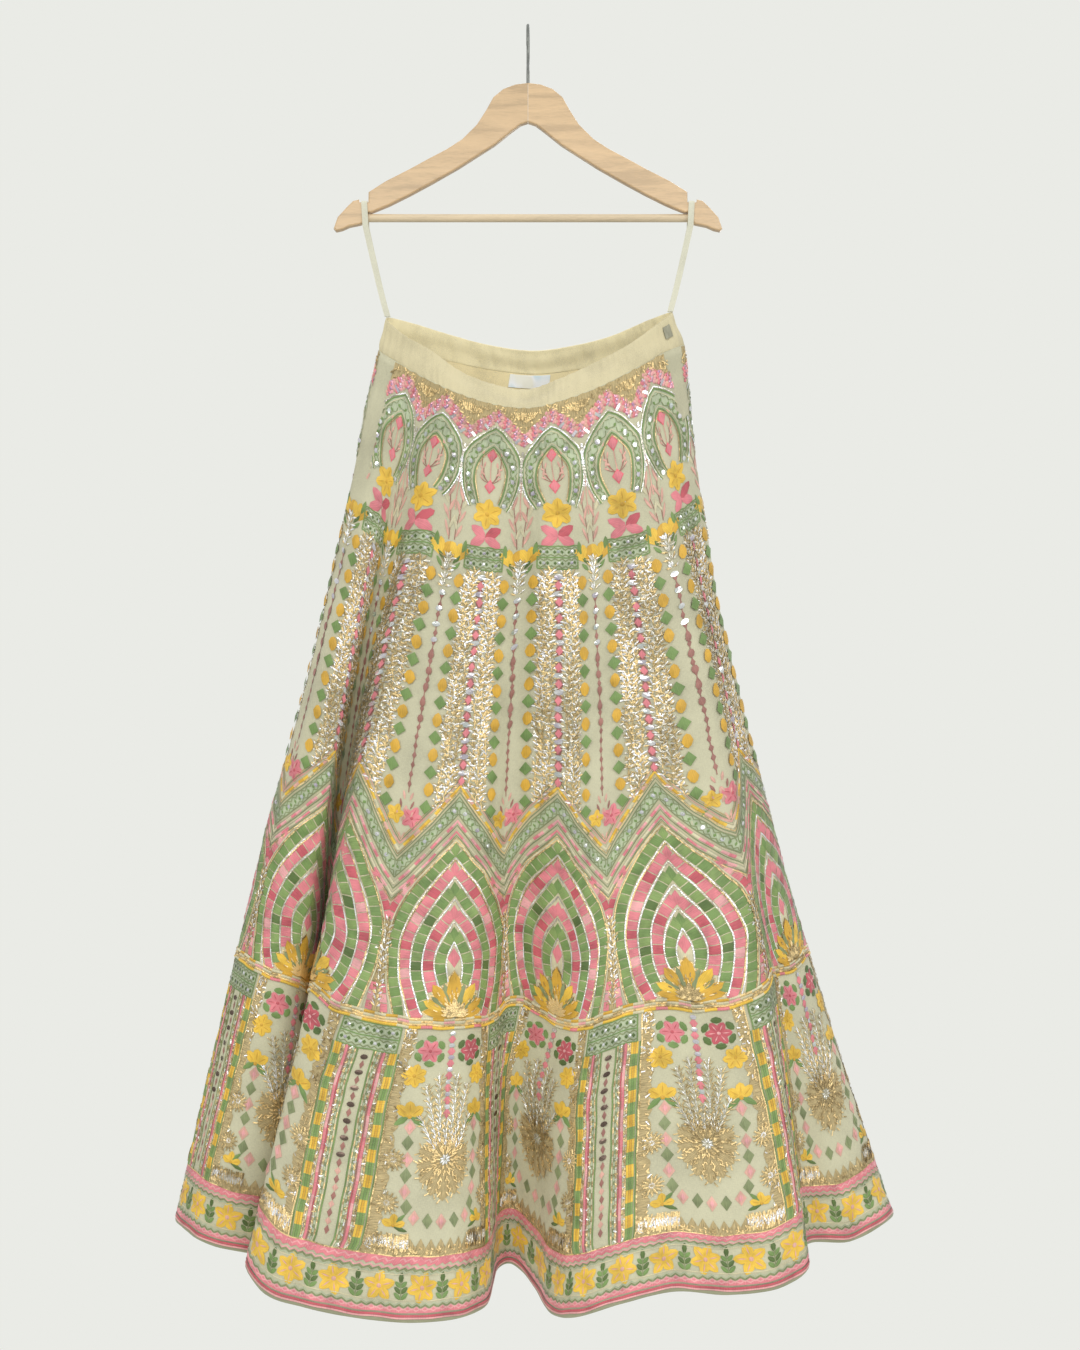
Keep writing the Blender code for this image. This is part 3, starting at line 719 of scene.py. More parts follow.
def plain_cloth(name, rgb, threads, crush):
    """Plain woven cloth with soft crushed creases, and painted shade in their troughs."""
    made, tree, shader = material(name, Roughness=0.8, Sheen_Weight=0.3, Sheen_Roughness=0.5,
                                  Specular_IOR_Level=0.25)
    place = object_place(tree)
    weave = noise(tree, place, threads, 2.0, (1, 1, 2.4))
    creases = noise(tree, place, 30.0, 4.0, (1, 1, 0.6))
    # The colour follows the weave, for uneven tone, and the creases, for painted shade: darker in
    # the troughs, lighter on the crests.
    total = combine(tree, "ADD", weave, creases)
    paint_tones(tree, shader, total, rgb, (0.7, 0.84), (1.0, 1.0), (1.25, 1.06))
    first = bump(tree, shader, weave, 0.35 * MM, 0.6)
    bump(tree, shader, creases, crush, 0.8, first)
    return made


def label_satin():
    """A blank woven satin label, its colour a painted pearly sheen from bluish to white to cream.
    """
    made, tree, shader = material("label_satin", Roughness=0.3, Coat_Weight=0.4,
                                  Coat_Roughness=0.2)
    place = object_place(tree)
    # Painted sheen: the label's colour moves from bluish to white to cream.
    paint(tree, shader, noise(tree, place, 48.0, 1.0), (0.36, srgb(222, 238, 244)),
          (0.5, srgb(250, 252, 252)), (0.66, srgb(246, 244, 228)))
    bump(tree, shader, noise(tree, place, 900.0, 1.0, (1, 1, 4)), 0.1 * MM, 0.4)
    return made


def varnished_wood(name, rgb, grain_turn=0.0):
    """Pale varnished wood, its grain along the arm."""
    made, tree, shader = material(name, Roughness=0.38, Coat_Weight=0.35, Coat_Roughness=0.18,
                                  Specular_IOR_Level=0.45)
    place = add(tree, "Mapping", {"Vector": object_place(tree), "Rotation": (0, grain_turn, 0),
                                  "Scale": (1.0, 9.0, 9.0)}).outputs["Vector"]
    figure = add(tree, "TexNoise", {"Vector": place, "Scale": 9.0, "Detail": 5.0,
                                    "Distortion": 0.8}).outputs["Fac"]
    pores = combine(tree, "MULTIPLY", noise(tree, place, 140.0), 0.35)
    total = combine(tree, "ADD", pores, figure)
    paint_tones(tree, shader, total, rgb, (0.5, 0.80), (0.68, 1.0), (0.86, 1.10))
    bump(tree, shader, total, 0.15 * MM, 0.4)
    return made


@functools.cache
def steel(name, rgb, roughness):
    """Plated steel wire or plate, lightly brushed."""
    made, tree, shader = material(name, Roughness=roughness, Metallic=0.9)
    brushed = noise(tree, object_place(tree), 60.0, 2.0, (8, 8, 1))
    paint_tones(tree, shader, brushed, rgb, (0.35, 0.85), (0.65, 1.1))
    bump(tree, shader, brushed, 0.05 * MM, 0.2)
    return made


SILKS = ("pink", "deep_pink", "coral", "blush", "salmon", "rose", "yellow", "ochre", "green",
         "leaf", "dark_green", "moss", "sage", "cord")


def build_materials():
    """Every finish of the embroidery by name."""
    made = {name: silk(name) for name in SILKS}
    made["gold"] = metal_thread("gold_thread", tuple(colours().gold), 0.36, 900, 0.7)
    # The beads' near-white colour is partly their pale gold and partly painted glint, so they show
    # white without catching a lamp.
    made["bright"] = metal_thread("bright_gold_beads", srgb(250, 244, 226), 0.22, 500, 0.45)
    made["tan"] = tan_stitching()
    # Mirror foil: its pale, patchy colour is painted reflection, on top of the metal's own
    # reflection.
    made["mirror"] = foil("foil_mirror", 0.14, 0.7, 38.0, (0.34, srgb(212, 204, 216)),
                          (0.5, srgb(250, 250, 248)), (0.66, srgb(214, 222, 216)))
    made["lilac"] = foil("lilac_sequins", 0.22, 0.45, 260.0, (0.36, srgb(196, 160, 190)),
                         (0.5, srgb(228, 158, 174)), (0.64, srgb(222, 208, 216)))
    # Dark grey brown mirrors: painted shade, for mirrors that lie in shade.
    made["smoky"] = steel("smoky_mirror", srgb(124, 106, 94), 0.25)
    return made


# ---- Making pieces ---------------------------------------------------------
def put(name, data):
    """A new object in the scene."""
    made = bpy.data.objects.new(name, data)
    bpy.context.scene.collection.objects.link(made)
    return made


def mesh_from(body, name):
    """A new mesh from a bmesh, which is freed."""
    mesh = bpy.data.meshes.new(name)
    body.to_mesh(mesh)
    body.free()
    return mesh


def finish_piece(thing, slot, *nodes):
    """Rides the piece on the part, and hides the nodes that it stands for. slot is not used."""
    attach(thing, "root")
    if nodes:
        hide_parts(*nodes)
    return thing


def mesh_lists(body):
    """Flat points and faces of a bmesh, which is freed."""
    points = np.array([vert.co[:2] for vert in body.verts])
    body.verts.index_update()
    faces = np.array([[vert.index for vert in face.verts] for face in body.faces])
    body.free()
    return points, faces


@functools.cache
def unit_disc(sides):
    """Points and faces of a filled circle of radius 1, its middle point first."""
    body = bmesh.new()
    bmesh.ops.create_circle(body, cap_ends=True, cap_tris=True, segments=sides, radius=1)
    return mesh_lists(body)


@functools.cache
def unit_grid(columns, rows):
    """Points and faces of a grid, -1 to 1 both ways."""
    body = bmesh.new()
    bmesh.ops.create_grid(body, x_segments=columns, y_segments=rows, size=1)
    return mesh_lists(body)


def heights(lift, crown):
    """Lift and crown in metres, from mm or, where none is given, from the sizes."""
    return (sizes().lift if lift is None else lift * MM,
            sizes().crown if crown is None else crown * MM)


class Stitching:
    """Embroidery of one repeat, drawn flat and then laid on the cloth all round.

    Every place is a phase, in repeats from the middle of the repeat, and a down, in metres.
    A turn is measured from straight up towards the wearer's left. Widths, lengths and
    heights of stitches are in mm.
    """

    def __init__(self):
        self.known = build_materials()
        self.used = []
        self.points, self.along, self.faces, self.slots, self.smooth = [], [], [], [], []
        self.count = 0

    def keep(self, faces, phase, down, lift, along, across, finish, smooth):
        """Keeps copies of a unit: each row of phase, down and lift is one copy's points."""
        if finish not in self.used:
            self.used.append(finish)
        phase = np.atleast_2d(phase)
        copies, size_of_one = phase.shape
        self.points.append(np.stack(np.broadcast_arrays(phase, -down, lift), -1).reshape(-1, 3))
        self.along.append(np.stack([along, across], -1).reshape(-1, 2))
        starts = self.count + np.arange(copies)[:, None, None] * size_of_one
        faces = (faces[None] + starts).reshape(-1, faces.shape[-1])
        self.faces.extend(faces.tolist())
        self.slots.extend([self.used.index(finish)] * len(faces))
        self.smooth.extend([smooth] * len(faces))
        self.count += copies * size_of_one

    def sew(self, phase, down, width, length, finish, turn=0.0, pointed=0.0, sides=8,
            lift=None, crown=None, tilt=0.0, smooth=True):
        """Sews a crowned round or pointed patch, or an oblong of 0 sides, at each place."""
        points, faces = unit_grid(1, 1) if sides == 0 else unit_disc(sides)
        lift, crown = heights(lift, crown)
        phase, down, width, length, turn, tilt = (
            v[:, None] for v in np.broadcast_arrays(*np.atleast_1d(
                phase, down, width * MM, length * MM, turn, tilt)))
        x, y = points.T
        middle = np.hypot(x, y) < 0.5
        across, along = x * np.abs(x) ** pointed * width / 2, y * length / 2
        aside = across * np.cos(turn) + along * np.sin(turn)
        at = down - (along * np.cos(turn) - across * np.sin(turn))
        self.keep(faces, phase + aside / width_at(at), at, lift + crown * middle + tilt * across,
                  along, across, finish, smooth)

    def needles(self, phase, down, width, length, finish, turn, lift, tilt=0.0):
        """Sews flat single stitches."""
        self.sew(phase, down, width, length, finish, turn=turn, sides=0, lift=lift, crown=0,
                 tilt=tilt, smooth=False)

    def glints(self, phase, down, width, length, finish, turn, lift, tilt):
        """Sews small pointed leaves of metal, each with its own tilt."""
        self.sew(phase, down, width, length, finish, turn=turn, pointed=0.3, sides=4, lift=lift,
                 crown=0.3, tilt=tilt, smooth=False)

    def run(self, route, width, finishes, parts=1, gap=0.0, steps=2, rows=2, start=0.0, end=1.0,
            lift=None, crown=None, stitched_across=True, smooth=True):
        """Sews a band along route, in parts that take the finishes in turn.

        route gives (phase, down) for a share of its run from 0 to 1.
        """
        points, faces = unit_grid(steps, rows)
        lift, crown = heights(lift, crown)
        s, t = points.T
        part = (end - start) / parts
        length = route_length(route, start, end) / parts
        aside = width * MM / 2 * t
        crowned = 1 - t**2 if gap == 0 else (1 - t**2) * (1 - s**2)
        for index in range(parts):
            share = start + (index + 0.5) * part + s * part * (1 - gap) / 2
            phase, down = route(share)
            before, after = route(share - ROUTE_STEP), route(share + ROUTE_STEP)
            ahead = (after[0] - before[0]) * width_at(down)
            up = before[1] - after[1]
            size_of_step = np.hypot(ahead, up)
            left_x, left_y = -up / size_of_step, ahead / size_of_step
            at = down - left_y * aside
            stitches = [(s + 2 * index) * length / 2, aside]
            if stitched_across:
                stitches.reverse()
            self.keep(faces, phase + left_x * aside / width_at(at), at, lift + crown * crowned,
                      *stitches, finishes[index % len(finishes)], smooth)

    def line(self, route, width, finish, steps, lift=None):
        """Sews a thin flat line along route."""
        self.run(route, width, [finish], steps=steps, rows=1, lift=lift, crown=0)

    def fill(self, place, columns, rows, finish, lift=None, upright=True):
        """Fills an area: place gives (phase, down) for shares across and up it."""
        points, faces = unit_grid(columns, rows)
        lift = sizes().lift * 0.8 if lift is None else lift * MM
        phase, down = place(*(points.T + 1) / 2)
        stitches = [-down, phase * width_at(down)]
        if not upright:
            stitches.reverse()
        self.keep(faces, phase, down, lift, *stitches, finish, True)

    def both(self, method, route, *args, **settings):
        """Sews a band and its mirror image."""
        for side in (1, -1):
            method(mirror_image(route, side), *args, **settings)

    def flat_mesh(self, name):
        """The repeat as it is drawn, with its finishes and the metres along its stitches."""
        flat = bpy.data.meshes.new(name + "_flat")
        flat.from_pydata(np.vstack(self.points).tolist(), [], self.faces)
        flat.polygons.foreach_set("material_index", self.slots)
        flat.polygons.foreach_set("use_smooth", self.smooth)
        corners = np.zeros(len(flat.loops), np.int32)
        flat.loops.foreach_get("vertex_index", corners)
        layer = flat.uv_layers.new(name="stitches")
        layer.data.foreach_set("uv", np.vstack(self.along)[corners].ravel())
        for finish in self.used:
            flat.materials.append(self.known[finish])
        return flat

    def lay(self, name, slot="embroidered_cloth"):
        """Copies the repeat all round, and lays the copies on the cloth as one piece."""
        flat = self.flat_mesh(name)
        drawn = put(name, flat)
        copies = drawn.modifiers.new("repeats", "ARRAY")
        copies.count = REPEATS
        copies.use_relative_offset = False
        copies.use_constant_offset = True
        copies.constant_offset_displace = (1, 0, 0)
        bpy.context.view_layer.update()
        mesh = bpy.data.meshes.new_from_object(
            drawn.evaluated_get(bpy.context.evaluated_depsgraph_get()))
        drawn.modifiers.clear()
        drawn.data = mesh
        mesh.name = name
        bpy.data.meshes.remove(flat)
        leave_plain(mesh)
        repeat, down, lift = drawn_places(mesh)
        repeat, down = drift(repeat, down)
        stray = sizes().wobble
        aside = stray * np.sin(repeat * 8.3 + down * 91) * np.sin(down * 47 + repeat * 3.1)
        along = stray * np.sin(repeat * 31 + down * 23) * np.sin(repeat * 5.7 - down * 29)
        points = on_cloth(repeat + aside / width_at(down), down + along, lift)
        mesh.vertices.foreach_set("co", points.astype(np.float32).ravel())
        mesh.update()
        return finish_piece(drawn, slot)


def drawn_places(mesh):
    """Repeat, down and lift of the points of embroidery that isn't laid yet."""
    places = np.zeros(len(mesh.vertices) * 3)
    mesh.vertices.foreach_get("co", places)
    repeat, up, lift = places.reshape(-1, 3).T
    return repeat + FIRST_REPEAT, -up, lift


def leave_plain(mesh):
    """Takes out what lies on the plain strips beside the side openings."""
    repeat, down, _ = drawn_places(mesh)
    bare = np.zeros(len(repeat), bool)
    for middle, half, foot in PLAIN_STRIPS:
        bare |= (np.abs(nearest(repeat - middle)) < half) & (down < foot)
    if not bare.any():
        return
    body = bmesh.new()
    body.from_mesh(mesh)
    body.verts.ensure_lookup_table()
    doomed = [body.verts[i] for i in np.flatnonzero(bare)]
    bmesh.ops.delete(body, geom=doomed, context="VERTS")
    body.to_mesh(mesh)
    body.free()


def embroider(name, *parts):
    """Sews the parts of an embroidery in turn, and lays it."""
    work = Stitching()
    for part in parts:
        part(work)
    work.lay(name)
    return {"FINISHED"}


# ---- Routes, areas and motifs ----------------------------------------------
def step_off(phase, down, turn, out):
    """The place that lies out mm from another, in the direction of turn."""
    at = down - out * MM * np.cos(turn)
    return phase + out * MM * np.sin(turn) / width_at(at), at


def both_ways(lean):
    """A lean and its mirror image, which are one for straight up or down."""
    return (lean,) if lean in (0.0, PI) else (lean, -lean)


def route_length(route, start, end):
    phase, down = route(np.linspace(start, end, ROUTE_POINTS))
    return float(np.hypot(np.diff(phase) * width_at(down[1:]), np.diff(down)).sum())


def straight(phase_from, down_from, phase_to, down_to):
    """A straight route on the flat cloth."""
    def route(s):
        down = down_from + (down_to - down_from) * s
        return phase_from + (phase_to - phase_from) * s, down
    return route


def beside(phase, metres, down_from, down_to):
    """A route down the cloth that keeps a distance in metres from a phase."""
    def route(s):
        down = down_from + (down_to - down_from) * s
        return phase + metres / width_at(down), down
    return route


def mirror_image(route, side):
    """The route itself, or its mirror image on the left."""
    return lambda s: (side * route(s)[0], route(s)[1])


def band_between(inner, outer, side):
    """An area between two routes that run down one side of the middle."""
    def place(s, t):
        across = s if side > 0 else 1 - s
        (phase_in, down_in), (phase_out, down_out) = inner(1 - t), outer(1 - t)
        return (side * (phase_in + (phase_out - phase_in) * across),
                down_in + (down_out - down_in) * across)
    return place


def oblong(middle, half, top, foot):
    """An upright area of this half width round a phase."""
    def place(s, t):
        down = foot + (top - foot) * t
        return middle + (2 * s - 1) * half / width_at(down), down
    return place


def flower(work, phase, down, radius, petals, finish, heart, turn=0.0, width=0.74, skip=(),
           pointed=0.38):
    """A star flower of pointed satin petals, with a small heart; its radius in mm."""
    angles = np.array([turn + 2 * PI * i / petals for i in range(petals) if i not in skip])
    spot, at = step_off(phase, down, angles, radius * 0.53)
    low = 1.15 * sizes().lift / MM
    work.sew(spot, at, radius * width, radius * 0.98, finish, turn=angles, pointed=pointed,
             lift=low)
    work.sew(spot, at, radius * 0.10, radius * 0.6, heart, turn=angles, sides=4,
             lift=low + sizes().crown / MM, crown=0)
    work.sew(phase, down, radius * 0.3, radius * 0.3, heart, sides=6,
             lift=2.2 * sizes().lift / MM)


def leaf(work, phase, down, length, width, turn, finish, pointed=0.8, lift=None):
    """A pointed leaf whose stalk end is at the given place; length and width in mm."""
    spot, at = step_off(phase, down, turn, length / 2)
    work.sew(spot, at, width, length, finish, turn=turn, pointed=pointed, lift=lift)


def mirrors(work, phase, down, across, high, seed):
    """Small mirrors, each tipped a little its own way; their width and height in mm."""
    phase, down = np.broadcast_arrays(phase, down)
    tilt = np.random.default_rng(seed).uniform(-0.32, 0.32, len(phase))
    work.sew(phase, down, across, high, "mirror", lift=2.4 * sizes().lift / MM, crown=0.15,
             tilt=tilt, smooth=False)


def scatter(work, phase, down, length, rng, finishes):
    """Single metal stitches of this length in mm that lie every way."""
    for part, finish in enumerate(finishes):
        spot, at = phase[part::len(finishes)], down[part::len(finishes)]
        count = len(spot)
        work.needles(spot, at, 1.3, length * rng.uniform(0.7, 1.3, count), finish,
                     rng.uniform(0, PI, count), 1.2, rng.uniform(-0.5, 0.5, count))


def wave(work, route, pitch, finish, side, width):
    """A zigzag of short stitches along a route; pitch and width in mm."""
    count = max(2, round(route_length(route, 0, 1) / (pitch * MM)))
    share = (np.arange(count) + 0.5) / count
    phase, down = route(share)
    ahead_phase, ahead_down = route(share + ROUTE_STEP)
    turn = np.arctan2((ahead_phase - phase) * width_at(down), down - ahead_down)
    swings = side * 0.55 * np.where(np.arange(count) % 2, 1.0, -1.0)
    work.needles(phase, down, width, pitch * 1.3, finish, turn + swings, 1.0)


def spray(work, phase, down, rng, turns, length, finishes):
    """Fans of bright stitches on both sides of each place, as leaves of this length in mm."""
    phase, down = np.broadcast_arrays(*np.atleast_1d(phase, down))
    count = len(phase)
    for step, turn in enumerate(turns):
        for side in (-1, 1):
            lean = side * (turn + rng.normal(0, 0.13, count))
            long = length * rng.uniform(0.75, 1.2, count)
            spot, at = step_off(phase, down, lean, long * 0.62 + 0.6)
            finish = finishes[(step + (side > 0)) % len(finishes)]
            work.glints(spot, at, 2.2, long, finish, lean, 1.2, rng.uniform(-0.45, 0.45, count))


def lattice_block(work, place, count, high):
    """A sage lattice: two rows of knots between wavy lines, in a green frame."""
    def level(height):
        return lambda s: place(s, np.full_like(s, height))

    def upright(across):
        return lambda s: place(np.full_like(s, across), 1 - s)

    work.fill(place, 8, 4, "sage")
    for height in (0.0, 0.5, 1.0):
        work.line(level(height), 1.3, "green", 10, 1.0)
    for across in (0.0, 1.0):
        work.line(upright(across), 1.3, "green", 4, 1.0)
    for height in (0.25, 0.75):
        for aside, side in ((-0.15, -1), (0.15, 1)):
            wave(work, level(height + aside), 3.6, "moss", side, 1.2)
        phase, down = level(height)((np.arange(count) + 0.5) / count)
        work.sew(phase, down, high * 0.75, high, "dark_green", sides=4, lift=1.1, crown=0.4)
        phase, down = level(height)(np.arange(1, count, 2) / count)
        mirrors(work, phase, down, 3.4, 3.4, 7 + count)


# ---- Cloth pieces ----------------------------------------------------------
SIDES = (("front", LEFT_SEAM, RIGHT_SEAM), ("back", RIGHT_SEAM, LEFT_SEAM + REPEATS))


def cloth_sheet(name, start, end, top, foot, thickness, rise=0.0, rows=None, place=on_cloth):
    """A thin closed sheet over a patch of the skirt, with metres along and down it as its UV."""
    columns = round((end - start) * sizes().columns)
    rows = rows or max(2, round((foot - top) / CLOTH_CELL))
    body = bmesh.new()
    bmesh.ops.create_grid(body, x_segments=columns, y_segments=rows, size=0.5)
    flat = np.array([vert.co for vert in body.verts])
    repeat = start + (end - start) * (flat[:, 0] + 0.5)
    down = foot + (top - foot) * (flat[:, 1] + 0.5)
    layer = body.loops.layers.uv.new("stitches")
    for vert, point in zip(body.verts, place(repeat, down, rise)):
        vert.co = point
    body.verts.index_update()
    middle_width = width_at((top + foot) / 2)
    for face in body.faces:
        for loop in face.loops:
            i = loop.vert.index
            loop[layer].uv = (down[i], repeat[i] * middle_width)
    mesh = mesh_from(body, name)
    mesh.shade_smooth()
    thing = put(name, mesh)
    wall = thing.modifiers.new("thickness", "SOLIDIFY")
    wall.thickness = thickness
    wall.offset = -1
    return thing


def round_edges(thing, name, width, segments):
    edge = thing.modifiers.new(name, "BEVEL")
    edge.width = width
    edge.segments = segments


def cut_area(repeats, top, foot):
    """Flat area of repeats of cloth between two levels."""
    levels = np.linspace(top, foot, 200)
    return float(repeats * width_at(levels).mean() * (foot - top))


class SKIRT_OT_panels(bpy.types.Operator):
    """Cloth of the upper skirt and of the tier, front and back"""

    bl_idname = "skirt.panels"
    bl_label = "Cloth panels"

    def execute(self, context):
        levels = (("upper", BAND_DOWN + SEAM_GAP, TIER_SEAM_DOWN - SEAM_GAP),
                  ("tier", TIER_SEAM_DOWN + SEAM_GAP, BINDING_DOWN - SEAM_GAP))
        for level, top, foot in levels:
            for side, start, end in SIDES:
                inset = SEAM_GAP / width_at(top)
                thing = cloth_sheet(f"{level}_cloth_{side}", start + inset, end - inset, top,
                                    foot, sizes().cloth)
                thing.data.materials.append(panel_cloth())
                finish_piece(thing, "embroidered_cloth", f"{level}_{side}")
                repeats = end - start
                cut_area(repeats, top, foot)
        return {"FINISHED"}


def band_face(repeat, down, rise):
    """The waistband's face: gently rippled where it was gathered, with pressed edges."""
    ripple = 0.5 * np.sin(repeat * 9 + 2 * np.sin(repeat * 3.7)) * np.sin(PI * down / BAND_DOWN)
    ripple += 0.35 * np.sin(repeat * 23 + down * 160) * np.sin(repeat * 4.1 + 1)
    ripple += 0.6 * np.sin(repeat * 36 + 3 * np.sin(repeat * 5.3) + down * 30) ** 3
    ripple += 0.5 * np.cos(down * 2 * PI / BAND_DOWN * 1.5 + np.sin(repeat * 2))
    foot = 0.5 + 0.5 * np.cos(PI * np.clip((BAND_DOWN - down) / (5 * MM), 0, 1))
    return form(repeat, down) + outward(repeat, down) * (
        rise + (ripple * 0.8 - 0.5 * foot) * MM)[..., None]


class SKIRT_OT_waistband(bpy.types.Operator):
    """Waistband with rounded edges, and the lining and blank label inside the back"""

    bl_idname = "skirt.waistband"
    bl_label = "Waistband"

    def execute(self, context):
        inset = SEAM_GAP / REPEAT_AT_WAIST
        # Painted light: the same band cloth is 0.97 times as light on the front and 1.34 times as
        # light on the back, whose inside face lies in shade.
        for (side, start, end), painted_light in zip(SIDES, (0.97, 1.34)):
            thing = cloth_sheet(f"waistband_cloth_{side}", start + inset, end - inset, 0.0,
                                BAND_DOWN, sizes().band, rise=0.2 * MM, rows=12, place=band_face)
            shade = tone(colours().band, painted_light)
            thing.data.materials.append(plain_cloth(f"band_cloth_{side}", shade, 900.0, 3.0 * MM))
            round_edges(thing, "edges", 0.7 * MM, 2)
            finish_piece(thing, "band_cloth", f"waistband_{side}")
        lining = plain_cloth("lining_cloth", srgb(240, 224, 176), 700.0, 1.0 * MM)
        dress("back_lining", lining)
        dress("label_blank", label_satin())
        return {"FINISHED"}


def dress(node, finish):
    """Gives a node of the part its finish."""
    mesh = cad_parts[node].data
    mesh.materials.clear()
    mesh.materials.append(finish)


class SKIRT_OT_trims(bpy.types.Operator):
    """Couched cords over the tier seam, and the rolled hem"""

    bl_idname = "skirt.trims"
    bl_label = "Trims"

    def execute(self, context):
        trim = tier_cords()
        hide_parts("tier_trim_front", "tier_trim_back")
        # Cream cloth in painted shade: grey green.
        rolled = plain_cloth("rolled_hem", colours().rolled, 1200.0, 0.6 * MM)
        inset = SEAM_GAP / width_at(1.0)
        for side, start, end in SIDES:
            thing = cloth_sheet(f"rolled_hem_{side}", start + inset, end - inset, BINDING_DOWN,
                                CLOTH_LENGTH, 3.0 * MM, rise=0.7 * MM, rows=2)
            round_edges(thing, "roll", 1.4 * MM, 3)
            thing.data.materials.append(rolled)
            finish_piece(thing, "rolled_edge", f"hem_binding_{side}")
        return {"FINISHED"}


def tier_cords():
    """Four cords of several colours side by side on a cream ground."""
    work = Stitching()
    work.fill(lambda s, t: (s - 0.5, TIER_SEAM_DOWN + (6 - 12 * t) * MM), 32, 2, "cord",
              lift=0.9, upright=False)
    for offset, width, finishes in ((-4.6, 3.0, ["cord", "ochre", "cord", "gold"]),
                                    (-1.6, 2.6, ["gold", "cord", "blush", "cord"]),
                                    (1.4, 2.4, ["gold"]),
                                    (4.3, 3.2, ["yellow", "yellow", "cord", "yellow", "pink"])):
        down = TIER_SEAM_DOWN + offset * MM
        work.run(straight(-0.5, down, 0.5, down), width, finishes, parts=14, steps=3, rows=4,
                 lift=0.9, crown=width / 2)
    return work.lay("tier_cords", "couched_cord")


# ---- Yoke ------------------------------------------------------------------
class SKIRT_OT_yoke(bpy.types.Operator):
    """Yoke embroidery: stitched points, sequin zigzag, mirrored arches, flowers and blocks"""

    bl_idname = "skirt.yoke"
    bl_label = "Yoke embroidery"

    def execute(self, context):
        return embroider("yoke_embroidery", points_of_gold, sequins, arches, inside_arch,
                         between_arches, small_block)


def zigzag(phase):
    """The sequin zigzag under the waistband."""
    return ZIGZAG_PEAK + (ZIGZAG_VALLEY - ZIGZAG_PEAK) * 2 * np.abs(phase)


def arch(half, tip, foot=ARCH_FOOT):
    """One side of a pointed arch of this half width in mm, from its tip to its foot."""
    def route(share):
        down = tip + (foot - tip) * share
        spread = np.sin(PI / 2 * np.clip(share, 0, ARCH_SHOULDER) / ARCH_SHOULDER) ** 0.8
        past = np.clip((share - ARCH_SHOULDER) / (1 - ARCH_SHOULDER), 0, 1.5)
        return half * MM * (spread - ARCH_NARROWING * past**2) / width_at(down), down
    return route


def points_of_gold(work):
    """Matt gold points under the band, with beads and a fan of bright stitches."""
    top = BAND_DOWN + 0.8 * MM

    def place(s, t):
        phase = s - 0.5
        foot = zigzag(phase) - 3.0 * MM
        return phase, np.maximum(foot + (top - foot) * t, top)

    work.fill(place, 20, 4, "tan")
    rng = np.random.default_rng(13)
    phase = rng.uniform(-0.5, 0.5, 64)
    down = top + (zigzag(phase) - 5 * MM - top) * rng.uniform(0.1, 1.0, 64)
    scatter(work, phase, down, 3.2, rng, ("gold", "tan", "gold"))
    fan = np.linspace(-0.17, 0.17, 11)
    work.needles(np.where(fan > 0, fan - 0.5, fan + 0.5), top + (10 - 26 * fan**2) * MM, 1.3, 10,
                 "gold", fan * 4, 1.1, rng.uniform(-0.3, 0.3, 11))


def sequins(work):
    """Rows of sequins along the zigzag, with slanting mirror strips among them."""
    rng = np.random.default_rng(11)
    count = 24
    for row in range(5):
        phase = (np.arange(count) + 0.5 * (row % 2)) / count - 0.49
        down = zigzag(phase) + (row - 1.6) * 3.0 * MM + rng.normal(0, 0.7 * MM, count)
        for part, finish in enumerate(("lilac", "blush", "salmon", "pink")):
            work.sew(phase[part::4], down[part::4], 4.2, 4.2, finish, sides=6,
                     tilt=rng.uniform(-0.3, 0.3, count // 4), smooth=False)
    for side in (-1, 1):
        phase = side * np.array([0.19, 0.40])
        work.needles(phase, zigzag(phase) + np.array([6, 7]) * MM, 3.0, 7, "mirror",
                     side * np.array([1.0, 0.8]), 1.2, rng.uniform(-0.3, 0.3, 2))


def arches(work):
    """The arch: a sage band with wavy edges and mirrors between coloured outlines."""
    outer, inner = arch(32.0, 0.0575), arch(19.0, 0.0755, 0.1400)
    middle = arch(25.2, 0.0675, 0.1425)
    for side in (-1, 1):
        work.fill(band_between(inner, outer, side), 2, 16, "sage")
    for half, tip, foot, width, finish in ARCH_LINES:
        work.both(work.line, arch(half, tip, foot), width, finish, 18, 1.0)
    for half, tip in ((28.6, 0.0620), (22.4, 0.0705)):
        for side in (-1, 1):
            wave(work, mirror_image(arch(half, tip, 0.142), side), 3.6, "moss", side, 0.9)
    share = (np.arange(10) + 0.4) / 10
    for side in (-1, 1):
        phase, down = middle(share)
        work.sew(side * phase, down, 3.2, 4.6, "green", sides=4, turn=side * (1.0 - 1.5 * share),
                 lift=1.0, crown=0.4)
        phase, down = middle(np.array([0.19, 0.39, 0.59, 0.79, 0.96]))
        mirrors(work, side * phase, down, 4.8, 5.2, 20 + side)


def inside_arch(work):
    """Two pink buds on a small leafy stem, over a yellow flower and four pink leaves."""
    for down in (0.0865, 0.1205):
        work.sew(0.0, down, 12.5, 16, "coral", sides=4, crown=1.0)
        work.sew(0.0, down, 8.5, 11, "pink", pointed=0.3, lift=1.2, crown=0.3)
    work.line(straight(0.0, 0.0945, 0.0, 0.113), 1.1, "salmon", 2)
    fork = 0.1165
    for reach, top in ((0.115, 0.1005), (0.165, 0.0890), (0.150, 0.1085)):
        def twig(s):
            return reach * np.sin(PI / 2 * s), fork - (fork - top) * np.abs(s) ** 1.7

        work.both(work.line, twig, 0.9, "rose", 8)
        for side in (-1, 1):
            leaf(work, side * reach, top, 7, 2.6, -side * 0.15, "salmon")
            leaf(work, side * reach * 0.72, (fork + top) / 2, 6, 2.2, side * 0.9, "salmon")
    flower(work, 0.0, 0.1500, 16.5, 6, "yellow", "ochre", turn=0.1)
    for turn, finish in ((-1.02, "pink"), (1.02, "deep_pink"), (-2.12, "pink"), (2.12, "pink")):
        leaf(work, 0.0, 0.1752, 20, 11.5, turn, finish, pointed=0.45)


